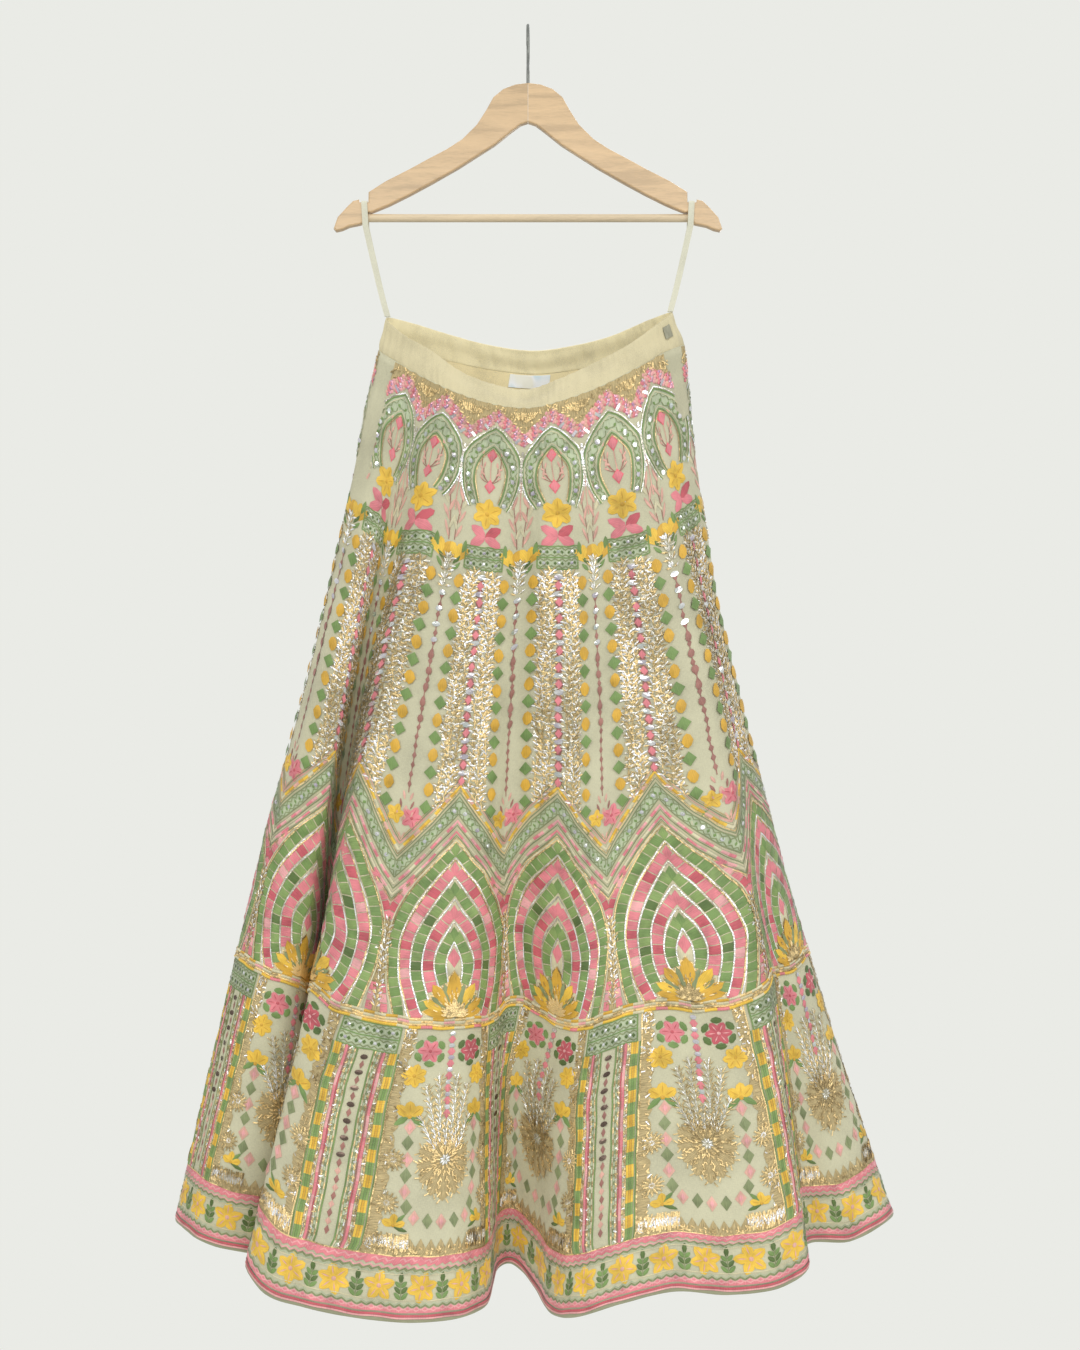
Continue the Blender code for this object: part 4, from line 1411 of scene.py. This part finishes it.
def between_arches(work):
    """Leafy sprays, pairs of yellow tulips and green leaves between the arches."""
    def twig(s):
        return 0.462 - 0.10 * np.abs(s) ** 1.4, 0.186 - 0.066 * s

    rng = np.random.default_rng(17)
    for side in (-1, 1):
        for step in range(6):
            part = step / 5
            leaf(work, side * (0.452 - 0.070 * part), 0.1835 - 0.040 * part, 17, 3.4,
                 side * (-0.40 + 0.72 * (step % 2)), "cord" if step in (1, 4) else "salmon",
                 pointed=0.5)
        work.line(mirror_image(twig, side), 0.9, "rose", 8)
        work.line(straight(side * 0.505, 0.112, side * 0.495, 0.154), 1.0, "salmon", 4)
        work.run(straight(side * 0.492, 0.078, side * 0.480, 0.124), 1.5, ["bright"], parts=8,
                 gap=0.2, steps=1, rows=1, lift=1.1, crown=0, smooth=False)
        tulip = side * (0.5 - 8.4 * MM / width_at(0.2))
        for turn, finish in ((-0.60, "yellow"), (0.60, "ochre"), (0.0, "yellow")):
            leaf(work, tulip, 0.2050, 19, 10, turn - side * 0.18, finish, pointed=0.45)
        leaf(work, side * 0.315, 0.2010, 19, 6, -side * 0.10, "green")
        leaf(work, side * 0.325, 0.1985, 15, 4.5, side * 2.5, "dark_green")
        leaf(work, side * 0.415, 0.2165, 12, 4.2, -side * 0.65, "green")
    for down in (0.207, 0.214, 0.221, 0.229, 0.237):
        spray(work, 0.5, down, rng, (0.25, 0.7, 1.15), 8.5, ("bright", "bright", "gold"))


def small_block(work):
    """The small lattice block under each arch."""
    lattice_block(work, oblong(0.0, BLOCK_HALF_WIDTH, BLOCK_TOP, BLOCK_FOOT), 6, 4.2)


# ---- Body and chevron ------------------------------------------------------
def chevron(phase, offset=0.0):
    """The big zigzag across the middle of the skirt."""
    return CHEVRON_PEAK + (CHEVRON_VALLEY - CHEVRON_PEAK) * 2 * np.abs(phase) + offset


class SKIRT_OT_body(bpy.types.Operator):
    """Body embroidery: bead lines, coloured diamonds, gold branches and small flowers"""

    bl_idname = "skirt.body"
    bl_label = "Body embroidery"

    def execute(self, context):
        return embroider("body_embroidery", middle_line, diamonds, branches, thin_line,
                         end_flowers)


def middle_line(work):
    """Mirrors and pink diamonds in turn."""
    pitch = 17.6 * MM
    down = np.arange(BODY_TOP + 3 * MM, CHEVRON_PEAK - 12 * MM, pitch)
    mirrors(work, 0.0, down, 9.5, 6, 31)
    work.sew(0.0, down + pitch / 2, 8.5, 15, "rose", pointed=0.4, crown=0.7)
    work.sew(0.0, down + pitch / 2, 7.5, 10, "pink", sides=4, lift=1.5, crown=0.4)


def diamonds(work):
    """Columns of rounded yellow and four-sided green diamonds in turn."""
    for side in (-1, 1):
        phase = side * 0.305
        down = np.arange(BODY_TOP + 10 * MM, chevron(phase) - 12 * MM, 18.8 * MM)
        for part, finish, width, sides, pointed in ((0, "ochre", 11.5, 8, 0.5),
                                                    (1, "green", 14, 4, 0)):
            work.sew(phase, down[part::2], width, 15.5, finish, sides=sides, pointed=pointed,
                     lift=1.7, crown=1.1)


def branches(work):
    """Leafy branches of bright metal that fill the cloth beside the middle line, in bands of
    painted glint.
    """
    rng = np.random.default_rng(41)
    for phase, length, pitch, top in ((0.085, 6.6, 7.4, 0), (0.147, 8.8, 8.0, 4),
                                      (0.204, 5.6, 8.2, 8)):
        down = np.arange(BODY_TOP + top * MM, chevron(phase) - 5 * MM, pitch * MM)
        for side in (-1, 1):
            stray = side * phase + 0.012 * np.sin(down * 90 + phase * 40)
            at = down + rng.normal(0, 0.8 * MM, len(down))
            # Painted glint: in bands down the cloth the leaves take mostly the bright finish;
            # elsewhere they take more gold and tan.
            bright = np.sin(down * 52 + side * phase * 31 + 1.2) > -0.25
            for part, finishes in ((bright, ("bright", "gold")),
                                   (~bright, ("gold", "tan", "bright"))):
                spray(work, stray[part], at[part], rng, (0.42, 0.95, 1.45), length, finishes)
            work.needles(stray, down - 2 * MM, 1.3, pitch, "gold",
                         rng.normal(0, 0.15, len(down)), 0.9)
    count = 150
    phase = rng.uniform(0.05, 0.235, count) * np.where(np.arange(count) % 2, 1, -1)
    down = BODY_TOP + (chevron(phase) - 6 * MM - BODY_TOP) * rng.uniform(0, 1, count)
    scatter(work, phase, down, 4.2, rng, ("gold", "bright", "tan", "gold"))


def thin_line(work):
    """A thin rose line of lozenges between the repeats, with mirrors, then ovals, on it."""
    top, foot = BODY_TOP + 26 * MM, CHEVRON_VALLEY - 66 * MM
    work.line(straight(0.5, top, 0.5, foot + 4 * MM), 1.0, "rose", 20)
    work.sew(0.5, np.arange(top + 3 * MM, foot, 10.2 * MM), 4.8, 9.2, "rose", sides=4)
    spots = top + np.arange(9) * 17 * MM
    mirrors(work, 0.5, spots[:4], 8, 6, 37)
    work.sew(0.5, spots[4:], 6.6, 9, "rose", lift=1.2, crown=0.8)
    for side in (-1, 1):
        for step in range(3):
            at = foot + (12 + 9 * step) * MM
            leaf(work, 0.5 + side * (3 + 2.5 * step) * MM / width_at(at), at, 10, 3, side * 0.30,
                 "rose" if step % 2 else "salmon")
        for step in range(2):
            at = foot + (26 + 9 * step) * MM
            leaf(work, 0.5 + side * 2.5 * MM / width_at(at), at, 9, 2.6, -side * 0.25, "salmon")


def end_flowers(work):
    """A pink and a yellow flower over four small leaves, above each valley of the zigzag."""
    down = CHEVRON_VALLEY - 38 * MM
    flower(work, 0.5 + 0.082, down + 2 * MM, 13, 5, "pink", "deep_pink", turn=0.3)
    flower(work, 0.5 - 0.090, down, 10.5, 5, "yellow", "ochre", turn=0.2)
    leaf(work, 0.5 - 0.13, down + 9 * MM, 11, 4, -2.2, "green")
    for turn in (-0.75, -0.25, 0.25, 0.75):
        leaf(work, 0.5, CHEVRON_VALLEY - 7 * MM, 14, 3, turn, "salmon")


class SKIRT_OT_chevron(bpy.types.Operator):
    """The zigzag band: coloured cords on both sides of a sage mirrored lattice"""

    bl_idname = "skirt.chevron"
    bl_label = "Chevron band"

    def execute(self, context):
        return embroider("chevron_band", zigzag_cords, zigzag_lattice)


def chevron_line(offset):
    """One side of the big zigzag, this far below its middle cord in mm."""
    return lambda s: (0.5 * s, chevron(0.5 * s, offset * MM))


def zigzag_cords(work):
    """The sage ground, with thin lines and cords of several colours along it."""
    for side in (-1, 1):
        work.fill(band_between(chevron_line(30), chevron_line(12), side), 2, 12, "sage")
    for offset, width, finish in CHEVRON_LINES:
        work.both(work.line, chevron_line(offset), width, finish, 14, 0.9)
    for offset, width, finishes, parts in (
            (0, 3.2, ["yellow", "ochre", "salmon", "ochre", "yellow", "cord"], 12),
            (37.5, 3.0, ["blush", "pink", "cord"], 12),
            (49.0, 2.4, ["pink", "blush", "cord"], 9)):
        work.both(work.run, chevron_line(offset), width, finishes, parts=parts, steps=1, lift=0.7)


def zigzag_lattice(work):
    """Wavy lines, knots and mirrors on the sage ground."""
    for offset, swing in ((15.5, 1), (26.5, -1)):
        for side in (-1, 1):
            wave(work, mirror_image(chevron_line(offset), side), 4.0, "moss", swing * side, 1.0)
    for side in (-1, 1):
        phase = side * 0.5 * (np.arange(13) + 0.5) / 13
        work.sew(phase, chevron(phase, 21 * MM), 3.0, 5.0, "green", sides=4, turn=side * 0.65,
                 lift=1.0, crown=0.4)
        phase = side * 0.5 * (np.array([0.08, 0.31, 0.54, 0.77]) + 0.04 * (side > 0))
        mirrors(work, phase, chevron(phase, 21 * MM), 4.4, 4.4, 51 + side)


# ---- Domes -----------------------------------------------------------------
def dome(scale, drop, rise=0.0, narrowing=0.16):
    """One side of a pointed dome of this scale, its tip lowered and its foot raised in mm."""
    def route(share):
        tip, foot = DOME_TIP + drop * MM, DOME_FOOT - rise * MM
        down = tip + (foot - tip) * share
        spread = np.sin(PI / 2 * np.clip(share, 0, DOME_SHOULDER) / DOME_SHOULDER)
        past = np.clip((share - DOME_SHOULDER) / (1 - DOME_SHOULDER), 0, 1.5)
        half = DOME_HALF_WIDTH * scale * (spread - narrowing * past**2)
        return half / width_at(down), down
    return route


class SKIRT_OT_domes(bpy.types.Operator):
    """The tiled domes, each with a gold fan at its foot, and the branches between them"""

    bl_idname = "skirt.domes"
    bl_label = "Domes"

    def execute(self, context):
        return embroider("tiled_domes", dome_tiles, dome_fan, between_domes)


def dome_tiles(work):
    """Rings of satin tiles on cream ground, each with a pointed tip, and lines between them."""
    ground = dome(1.06, -4)

    def inside(s, t):
        half, down = ground(1 - t)
        return (2 * s - 1) * half, down

    work.fill(inside, 20, 22, "cord", lift=0.3)
    for scale, drop, rise, narrowing, finishes in DOME_RINGS:
        route = dome(scale, drop, rise, narrowing)
        count = max(5, round(route_length(route, TILES_START, 1.0) / TILE_PITCH))
        work.both(work.run, route, TILE_WIDTH, finishes, parts=count, gap=0.10, start=TILES_START,
                  lift=0.7)
        work.sew(0.0, DOME_TIP + (drop + 1.5) * MM, 10, 16, finishes[1], sides=4, lift=0.8)
    for *shape, finish in DOME_LINES:
        work.both(work.line, dome(*shape), 1.4, finish, 26, 1.1)
    work.sew(0.0, DOME_HEART, 14, 21, "pink", sides=4, crown=1.1)


def dome_fan(work):
    """Yellow petals with grey green ones between, all outlined in gold."""
    base = DOME_FOOT - 3 * MM
    for lean, length, width, *finishes in FAN_PETALS:
        for turn, finish in zip(both_ways(lean), finishes):
            leaf(work, 0.0, base, length + 2, width + 2, turn, "gold", pointed=0.25)
            leaf(work, 0.0, base, length, width, turn, finish, pointed=0.25, lift=1.4)
            leaf(work, 0.0, base, length * 0.45, width * 0.4, turn, "gold", lift=2.4)
    rng = np.random.default_rng(57)
    turn = rng.uniform(-1.5, 1.5, 30)
    spot, at = step_off(0.0, base, turn, rng.uniform(6, 30, 30))
    work.needles(spot, at, 1.2, 4.5, "gold", turn, 2.6, rng.uniform(-0.4, 0.4, 30))


def between_domes(work):
    """Pink tiles at the shoulders and feet of a dome, and gold branches between domes."""
    finishes = ["pink", "blush", "pink", "deep_pink"]
    for route, width, parts, start, end in ((dome(1.18, -13), 8, 5, 0.24, 0.50),
                                            (dome(1.15, -13, 0, 0.02), 7, 3, 0.84, 0.99)):
        work.both(work.run, route, width, finishes, parts=parts, gap=0.10, start=start, end=end,
                  lift=0.6)
    rng = np.random.default_rng(61)
    top = 0.600

    def stem(s, t):
        down = DOME_FOOT + (top - 3 * MM - DOME_FOOT) * t
        return 0.5 + (2 * s - 1) * (5.0 + 2.0 * np.sin(PI * t)) * MM / width_at(down), down

    work.fill(stem, 2, 12, "tan")
    spray(work, 0.5, np.arange(top, DOME_FOOT - 2 * MM, 6.4 * MM), rng, (0.4, 0.9), 6.5,
          ("bright", "gold"))
    count = 40
    phase = 0.5 + rng.uniform(-0.055, 0.055, count)
    scatter(work, phase, rng.uniform(top, DOME_FOOT, count), 3.6, rng, ("gold", "bright", "gold"))


# ---- Tier ------------------------------------------------------------------
def panel_edge(down):
    """Phase of the edge between the flower panel and the striped one."""
    return 0.5 - (STRIPES_HALF_WIDTH + 1.5 * MM) / width_at(down)


class SKIRT_OT_flower_panels(bpy.types.Operator):
    """Flower panels of the tier: serrated gold border, flowers, bouquet and diamond chain"""

    bl_idname = "skirt.flower_panels"
    bl_label = "Flower panels"

    def execute(self, context):
        return embroider("flower_panels", side_borders, foot_border, panel_flowers, bouquet,
                         chain, snowflakes)


def side_borders(work):
    """Matt gold borders with a scalloped inner edge, bright with beads near their top."""
    def outer(s):
        down = TIER_TOP + (PANEL_FOOT - TIER_TOP) * s
        return panel_edge(down), down

    def inner(s):
        edge, down = outer(s)
        scallop = 3.6 * MM * np.abs(np.sin(PI * down / (19 * MM)))
        saw = 1.5 * MM * ((down / (3.4 * MM)) % 1.0)
        return edge - (7.5 * MM + scallop + saw) / width_at(down), down

    rng = np.random.default_rng(67)
    count = 90
    for side in (-1, 1):
        work.fill(band_between(inner, outer, side), 2, 90, "tan", upright=False)
        work.line(mirror_image(outer, side), 1.5, "gold", 36, 0.9)
        edge, down = outer(rng.uniform(0, 1, count) ** 1.5)
        phase = edge - rng.uniform(1, 11, count) * MM / width_at(down)
        scatter(work, side * phase, down, 4.0, rng, ("bright", "gold", "gold"))


def foot_border(work):
    """Matt gold teeth in the middle of the panel's foot, bright spikes towards its ends."""
    edge = panel_edge(PANEL_FOOT)

    def teeth(s, t):
        tooth = np.abs((s * 14) % 1.0 - 0.5) * 2
        height = (7 + 9 * tooth * (np.abs(2 * s - 1) < 0.62)) * MM
        return (2 * s - 1) * edge, PANEL_FOOT - t * height

    work.fill(teeth, 112, 2, "tan")
    rng = np.random.default_rng(69)
    spot = np.concatenate([np.linspace(-0.97, -0.46, 26), np.linspace(0.46, 0.97, 26)])
    count = len(spot)
    for height, finish in ((5, "gold"), (10, "bright"), (14, "gold")):
        down = PANEL_FOOT - (height + rng.uniform(0, 3, count)) * MM
        work.needles(spot * edge, down, 1.6, 8.5, finish, rng.normal(0, 0.25, count), 1.2,
                     rng.uniform(-0.5, 0.5, count))
    phase = rng.uniform(-0.45, 0.45, 40) * edge
    scatter(work, phase, PANEL_FOOT - rng.uniform(1, 8, 40) * MM, 3.4, rng, ("gold",))


def panel_flowers(work):
    """Wreathed pink flowers over yellow ones on both sides of a line of mirrors."""
    for side, petals, heart, wreath in ((-1, "pink", "deep_pink", "green"),
                                        (1, "deep_pink", "blush", "dark_green")):
        phase, down = side * 0.133, 0.7290
        ring = 0.5 + PI / 6 + np.arange(6) * PI / 3
        work.sew(*step_off(phase, down, ring, 13.5), 7, 11, wreath, turn=ring + PI / 2,
                 pointed=0.4)
        flower(work, phase, down, 12.5, 6, petals, heart, turn=0.5, width=0.66)
        flower(work, side * 0.208, 0.7560, 12.5, 7, "yellow", "ochre", turn=0.2)
        flower(work, side * 0.204, 0.7980, 15.5, 7, "yellow", "ochre", skip=(2, 3, 4, 5))
        for turn in (-2.30, 2.30):
            leaf(work, side * 0.204, 0.7960, 19, 6.5, turn, "green")
        flower(work, side * 0.232, 0.9080, 11.5, 5, "yellow", "ochre", skip=(2, 3))
        leaf(work, side * 0.232, 0.9085, 15, 4.5, -side * 1.9, "dark_green")
        leaf(work, side * 0.232, 0.9070, 15, 4.5, -side * 0.75, "green")
    down = np.arange(0.7105, 0.8010, 13 * MM)
    mirrors(work, 0.0, down, 6.6, 5, 71)
    work.sew(0.0, down + 6.5 * MM, 8.2, 11.5, "pink", sides=4, crown=0.8)


def bouquet(work):
    """Matt gold leaves round a bright star, with sprigs of bright stitches above."""
    rng = np.random.default_rng(81)
    for lean, length, width in BOUQUET_LEAVES:
        for turn in both_ways(lean):
            stalk, low = step_off(0.0, BOUQUET_DOWN, turn, BOUQUET_HEART)
            leaf(work, stalk, low, length, width, turn, "tan", pointed=0.3)
            barbs = np.linspace(0.25, 1.0, 5) * length + BOUQUET_HEART
            spot, at = step_off(0.0, BOUQUET_DOWN, turn, barbs)
            for side in (-1, 1):
                aside = side * 0.26 * width * MM
                work.needles(spot + aside * np.cos(turn) / width_at(at),
                             at + aside * np.sin(turn), 1.3, 5.4, "gold", turn + side * 0.7, 1.9,
                             rng.uniform(-0.4, 0.4, 5))
    for ring, count, long, finish in ((3.5, 8, 5.5, "bright"), (8.0, 12, 6.5, "gold"),
                                      (12.5, 16, 6.0, "gold")):
        turn = np.linspace(0, 2 * PI, count, endpoint=False) + ring
        spot, at = step_off(0.0, BOUQUET_DOWN, turn, ring)
        work.glints(spot, at, 2.2, long, finish, turn, 2.2, rng.uniform(-0.4, 0.4, count))
    for phase, foot, lean, reach in BOUQUET_SPRIGS:
        for side in (-1, 1) if lean else (1,):
            bright_sprig(work, rng, side * phase, foot, side * lean, reach)


def bright_sprig(work, rng, phase, foot, lean, reach):
    """Five bright stitches at each step along a stem of this reach in mm."""
    spot, at = step_off(phase, foot, lean, np.arange(0, reach, 6.5))
    for turn, finish in ((0.0, "bright"), (0.45, "gold"), (-0.45, "bright"), (0.95, "tan"),
                         (-0.95, "gold")):
        long = rng.uniform(6.5, 9.5, len(at))
        heading = lean + turn + rng.normal(0, 0.1, len(at))
        work.glints(*step_off(spot, at, heading, long * 0.6), 1.5, long, finish, heading, 1.4,
                    rng.uniform(-0.45, 0.45, len(at)))


def chain(work):
    """Pink and sage diamonds that hang in a U round the bouquet."""
    right = np.array(CHAIN)
    phase, down = np.vstack([right[:0:-1] * (-1, 1), right]).T
    for part, finish, middle in ((0, "salmon", "blush"), (1, "moss", "moss")):
        spot, at = phase[part::2], down[part::2]
        work.sew(spot, at, 11.5, 16, finish, sides=4, crown=0.9)
        work.sew(spot, at, 5, 8, middle, sides=4, lift=1.3, crown=0.2)


def snowflakes(work):
    """Small round stars of fine gold stitches on both sides of the bouquet."""
    arms = np.arange(14) * PI / 7
    for phase, down in ((-0.264, 0.843), (-0.272, 0.887), (0.290, 0.842), (0.297, 0.884)):
        for out, between, splay, finish, width, long in (
                (4.5, 0.22, 0.0, "tan", 3.0, 9.0), (6.5, 0.0, 0.0, "gold", 1.7, 11.0),
                (10.0, 0.0, 0.60, "gold", 1.3, 5.0), (10.0, 0.0, -0.60, "tan", 1.3, 5.0),
                (2.4, 0.11, 0.0, "bright", 1.3, 3.6)):
            heading = arms + between
            work.sew(*step_off(phase, down, heading, out), width, long, finish,
                     turn=heading + splay, sides=4, lift=0.9, crown=0.4,
                     tilt=0.3 * np.sin(7 * heading), smooth=False)


class SKIRT_OT_striped_panels(bpy.types.Operator):
    """Striped panels of the tier: a mirrored block over lines of silk, gold and beads"""

    bl_idname = "skirt.striped_panels"
    bl_label = "Striped panels"

    def execute(self, context):
        return embroider("striped_panels", stripes, down_the_stripes, large_block)


def stripes(work):
    """Lines of silk, gold and beads on both sides of the panel's middle."""
    for aside, width, finishes, part in STRIPES:
        for side in (-1, 1):
            route = beside(0.5, side * aside * MM, STRIPES_TOP, PANEL_FOOT)
            count = max(1, round(route_length(route, 0, 1) / (part * MM)))
            work.run(route, width, finishes, parts=count, steps=max(1, round(part / 7)), lift=0.6,
                     crown=0.25 * width, stitched_across=len(finishes) > 1)


def down_the_stripes(work):
    """Lozenges between mirrors darkened with painted shade, then ovals, down the middle, and beads
    beside them.
    """
    down = np.arange(STRIPES_TOP + 9 * MM, PANEL_FOOT - 6 * MM, 17 * MM)
    work.sew(0.5, down + 8.5 * MM, 4.6, 9.5, "rose", sides=4)
    # The upper mirrors take the dark finish: painted shade.
    work.sew(0.5, down[:7], 7.6, 5.6, "smoky", lift=1.2, crown=0.15,
             tilt=0.25 * np.sin(np.arange(7) * 5.0), smooth=False)
    work.sew(0.5, down[7:], 5.4, 8, "salmon", sides=4)
    rng = np.random.default_rng(93)
    down = np.arange(STRIPES_TOP + 2 * MM, PANEL_FOOT, 5.2 * MM)
    for aside in (13.6, 20.9):
        for side in (-1, 1):
            scatter(work, 0.5 + side * aside * MM / width_at(down), down, 3.2, rng,
                    ("bright", "gold"))


def large_block(work):
    """The lattice block at the top of each striped panel."""
    lattice_block(work, oblong(0.5, LARGE_BLOCK_HALF_WIDTH, TIER_TOP, STRIPES_TOP), 8, 5.0)


class SKIRT_OT_border(bpy.types.Operator):
    """Hem border: pink bands with zigzag edges, yellow flowers and green sprigs"""

    bl_idname = "skirt.border"
    bl_label = "Hem border"

    def execute(self, context):
        return embroider("hem_border", border_bands, border_flowers)


def toothed(level, height):
    """A line round the hem with teeth of this height in mm."""
    def route(s):
        return s - 0.5, level + height * MM * (np.abs((s * BORDER_TEETH) % 1.0 - 0.5) * 2)
    return route


def toothed_band(near, far):
    """The area between two lines round the hem, the upper one first."""
    def place(s, t):
        (phase, end), (_, start) = near(s), far(s)
        return phase, start + (end - start) * t
    return place


def border_bands(work):
    """Pink bands along both edges, with zigzag and straight lines beside them."""
    upper = toothed(BORDER_TOP, 0), toothed(BORDER_TOP + 5.5 * MM, 2.4)
    lower = toothed(0.9845, 3), toothed(0.9905, 0)
    for near, far in (upper, lower):
        work.fill(toothed_band(near, far), BORDER_TEETH * 4, 1, "pink", lift=0.8)
    for level, height, width, finish in BORDER_ZIGZAGS:
        work.line(toothed(level, height), width, finish, BORDER_TEETH * 2, 0.9)
    for level, width, lift, finish in BORDER_LINES:
        work.line(straight(-0.5, level, 0.5, level), width, finish, 36, lift)


def border_flowers(work):
    """Yellow flowers of five and six petals in turn, with sprigs between them."""
    for place in range(5):
        phase = -0.4 + 0.2 * place
        flower(work, phase, BORDER_MIDDLE, 16.5, 5 if place % 2 else 6, "yellow", "salmon",
               turn=0.25 * (place % 3 - 1), width=0.68, pointed=0.6)
        green_sprig(work, phase + 0.1)


def green_sprig(work, phase):
    """A stalk with a leaf at its tip and three pairs below."""
    foot = BORDER_MIDDLE + 13.5 * MM
    work.line(straight(phase, foot, phase, foot - 19 * MM), 1.2, "moss", 3, 0.8)
    leaf(work, phase, foot - 17 * MM, 11, 5.4, 0.0, "dark_green", pointed=0.5)
    for step, length, finish in ((1, 10, "green"), (7, 9.5, "dark_green"), (13, 8.5, "green")):
        for side in (-1, 1):
            leaf(work, phase, foot - step * MM, length, 4.8, side * 0.80, finish, pointed=0.5)


# ---- Hanger ----------------------------------------------------------------
ARM_SLOPE = 28


class SKIRT_OT_hanger(bpy.types.Operator):
    """Finishes of the wooden hanger, its hook and bar, the tape loops and the waist hook"""

    bl_idname = "skirt.hanger"
    bl_label = "Hanger and loops"

    def execute(self, context):
        wood, slope = colours().wood, math.radians(ARM_SLOPE)
        darker = tone(wood, 0.95)
        tape = plain_cloth("loop_tape", srgb(222, 220, 198), 1100.0, 0.4 * MM)
        for node, finish in (
                ("hanger_arm_left", varnished_wood("varnished_wood_left", darker, slope)),
                ("hanger_arm_right", varnished_wood("varnished_wood_right", wood, -slope)),
                ("hanger_bar", varnished_wood("varnished_bar", colours().bar)),
                ("hanger_hook", steel("hook_steel", srgb(132, 134, 128), 0.42)),
                ("waist_hook", steel("waist_hook_steel", srgb(150, 148, 128), 0.5)),
                ("loop_left", tape),
                ("loop_right", tape)):
            dress(node, finish)
        return {"FINISHED"}


# ---- Stage -----------------------------------------------------------------
PIXEL = 1.1 * MM
CAMERA_DISTANCE = 2.4
CAMERA_PLACE = (0.0132, -CAMERA_DISTANCE, -0.712)
IMAGE_HEIGHT = 1350
SENSOR = 36.0
FLOOR_LEVEL, FLOOR_RADIUS = -1.86, 1.25
# Softboxes: place, aim, width and height in metres, power in watts.
LIGHTS = (
    ("key_softbox", (-1.5, -2.9, 0.9), (0.0, 0.0, -0.6), 1.6, 2.0, 31),
    ("fill_softbox", (2.6, -2.2, 0.3), (0.0, 0.0, -0.6), 1.4, 2.2, 24),
    ("front_strip", (0.3, -3.2, 0.35), (0.0, 0.0, -0.7), 2.0, 0.5, 14),
    ("back_softbox", (0.6, 2.8, 0.6), (0.0, 0.0, -0.7), 2.4, 1.8, 26),
)


class SKIRT_OT_stage(bpy.types.Operator):
    """Floor, soft lights, world and camera"""

    bl_idname = "skirt.stage"
    bl_label = "Stage"

    def execute(self, context):
        scene = bpy.context.scene
        scene.view_settings.view_transform = "Standard"
        place_camera(scene)
        for light in LIGHTS:
            softbox(*light)
        build_world(scene)
        build_floor()
        return {"FINISHED"}


def place_camera(scene):
    data = bpy.data.cameras.new("studio_camera")
    data.lens = SENSOR / 2 * CAMERA_DISTANCE / (IMAGE_HEIGHT / 2 * PIXEL)
    data.sensor_width = SENSOR
    data.clip_start, data.clip_end = 0.05, 50
    camera = put("studio_camera", data)
    camera.location = CAMERA_PLACE
    camera.rotation_euler = (PI / 2, 0, 0)
    scene.camera = camera


def softbox(name, place, aim, width, height, power):
    lamp = bpy.data.lights.new(name, "AREA")
    lamp.shape = "RECTANGLE"
    lamp.size, lamp.size_y, lamp.energy = width, height, power
    light = put(name, lamp)
    light.location = place
    light.rotation_euler = (Vector(aim) - Vector(place)).to_track_quat("-Z", "Y").to_euler()


def build_world(scene):
    """Pale studio air: even to look at, and its light stronger from above."""
    world = bpy.data.worlds.new("studio")
    scene.world = world
    world.use_nodes = True
    tree = world.node_tree
    tree.nodes.clear()
    place = add(tree, "TexCoord").outputs["Generated"]
    split = add(tree, "SeparateXYZ", {"Vector": place})
    high = add(tree, "MapRange", {"Value": split.outputs["Z"], "From Min": -1.0,
                                  "From Max": 1.0}).outputs["Result"]
    light = shades(tree, high, (0.28, (0.38, 0.38, 0.37)), (0.52, (0.54, 0.55, 0.54)),
                   (0.80, (0.95, 0.96, 0.98)))
    around = add(tree, "Background", {"Color": light, "Strength": 0.9})
    seen = add(tree, "Background", {"Color": (*colours().backdrop, 1), "Strength": 1.0})
    chosen = add(tree, "MixShader", {0: add(tree, "LightPath").outputs["Is Camera Ray"],
                                     1: around.outputs[0], 2: seen.outputs[0]})
    tree.links.new(chosen.outputs[0], add(tree, "OutputWorld").inputs["Surface"])


def build_floor():
    """A round of pale paper."""
    body = bmesh.new()
    bmesh.ops.create_circle(body, cap_ends=True, segments=96, radius=FLOOR_RADIUS)
    bmesh.ops.translate(body, verts=body.verts, vec=(0, 0, FLOOR_LEVEL))
    made, tree, shader = material("studio_paper", Roughness=0.9)
    paint_tones(tree, shader, noise(tree, object_place(tree), 3.0), colours().backdrop,
                (0.3, 0.98), (0.7, 1.0))
    floor = put("studio_floor", mesh_from(body, "studio_floor"))
    floor.data.materials.append(made)


STEPS = (SKIRT_OT_stage, SKIRT_OT_panels, SKIRT_OT_waistband, SKIRT_OT_trims, SKIRT_OT_yoke,
         SKIRT_OT_body, SKIRT_OT_chevron, SKIRT_OT_domes, SKIRT_OT_flower_panels,
         SKIRT_OT_striped_panels, SKIRT_OT_border, SKIRT_OT_hanger)


class SKIRT_PT_panel(bpy.types.Panel):
    """Lists the pieces of the skirt in the sidebar"""

    bl_idname = "SKIRT_PT_panel"
    bl_label = "Lehenga Skirt"
    bl_space_type = "VIEW_3D"
    bl_region_type = "UI"
    bl_category = "Skirt"

    def draw(self, context):
        for group in (context.scene.skirt_sizes, context.scene.skirt_colours):
            box = self.layout.box()
            for name in group.__annotations__:
                box.prop(group, name)
        for step in STEPS:
            self.layout.operator(step.bl_idname)


CLASSES = (SkirtColours, SkirtSizes, *STEPS, SKIRT_PT_panel)


def register():
    for item in CLASSES:
        bpy.utils.register_class(item)
    bpy.types.Scene.skirt_colours = PointerProperty(type=SkirtColours)
    bpy.types.Scene.skirt_sizes = PointerProperty(type=SkirtSizes)


def unregister():
    del bpy.types.Scene.skirt_colours
    del bpy.types.Scene.skirt_sizes
    for item in reversed(CLASSES):
        bpy.utils.unregister_class(item)


def main():
    register()
    for step in STEPS:
        group, name = step.bl_idname.split(".")
        getattr(getattr(bpy.ops, group), name)()


if __name__ == "__main__":
    main()
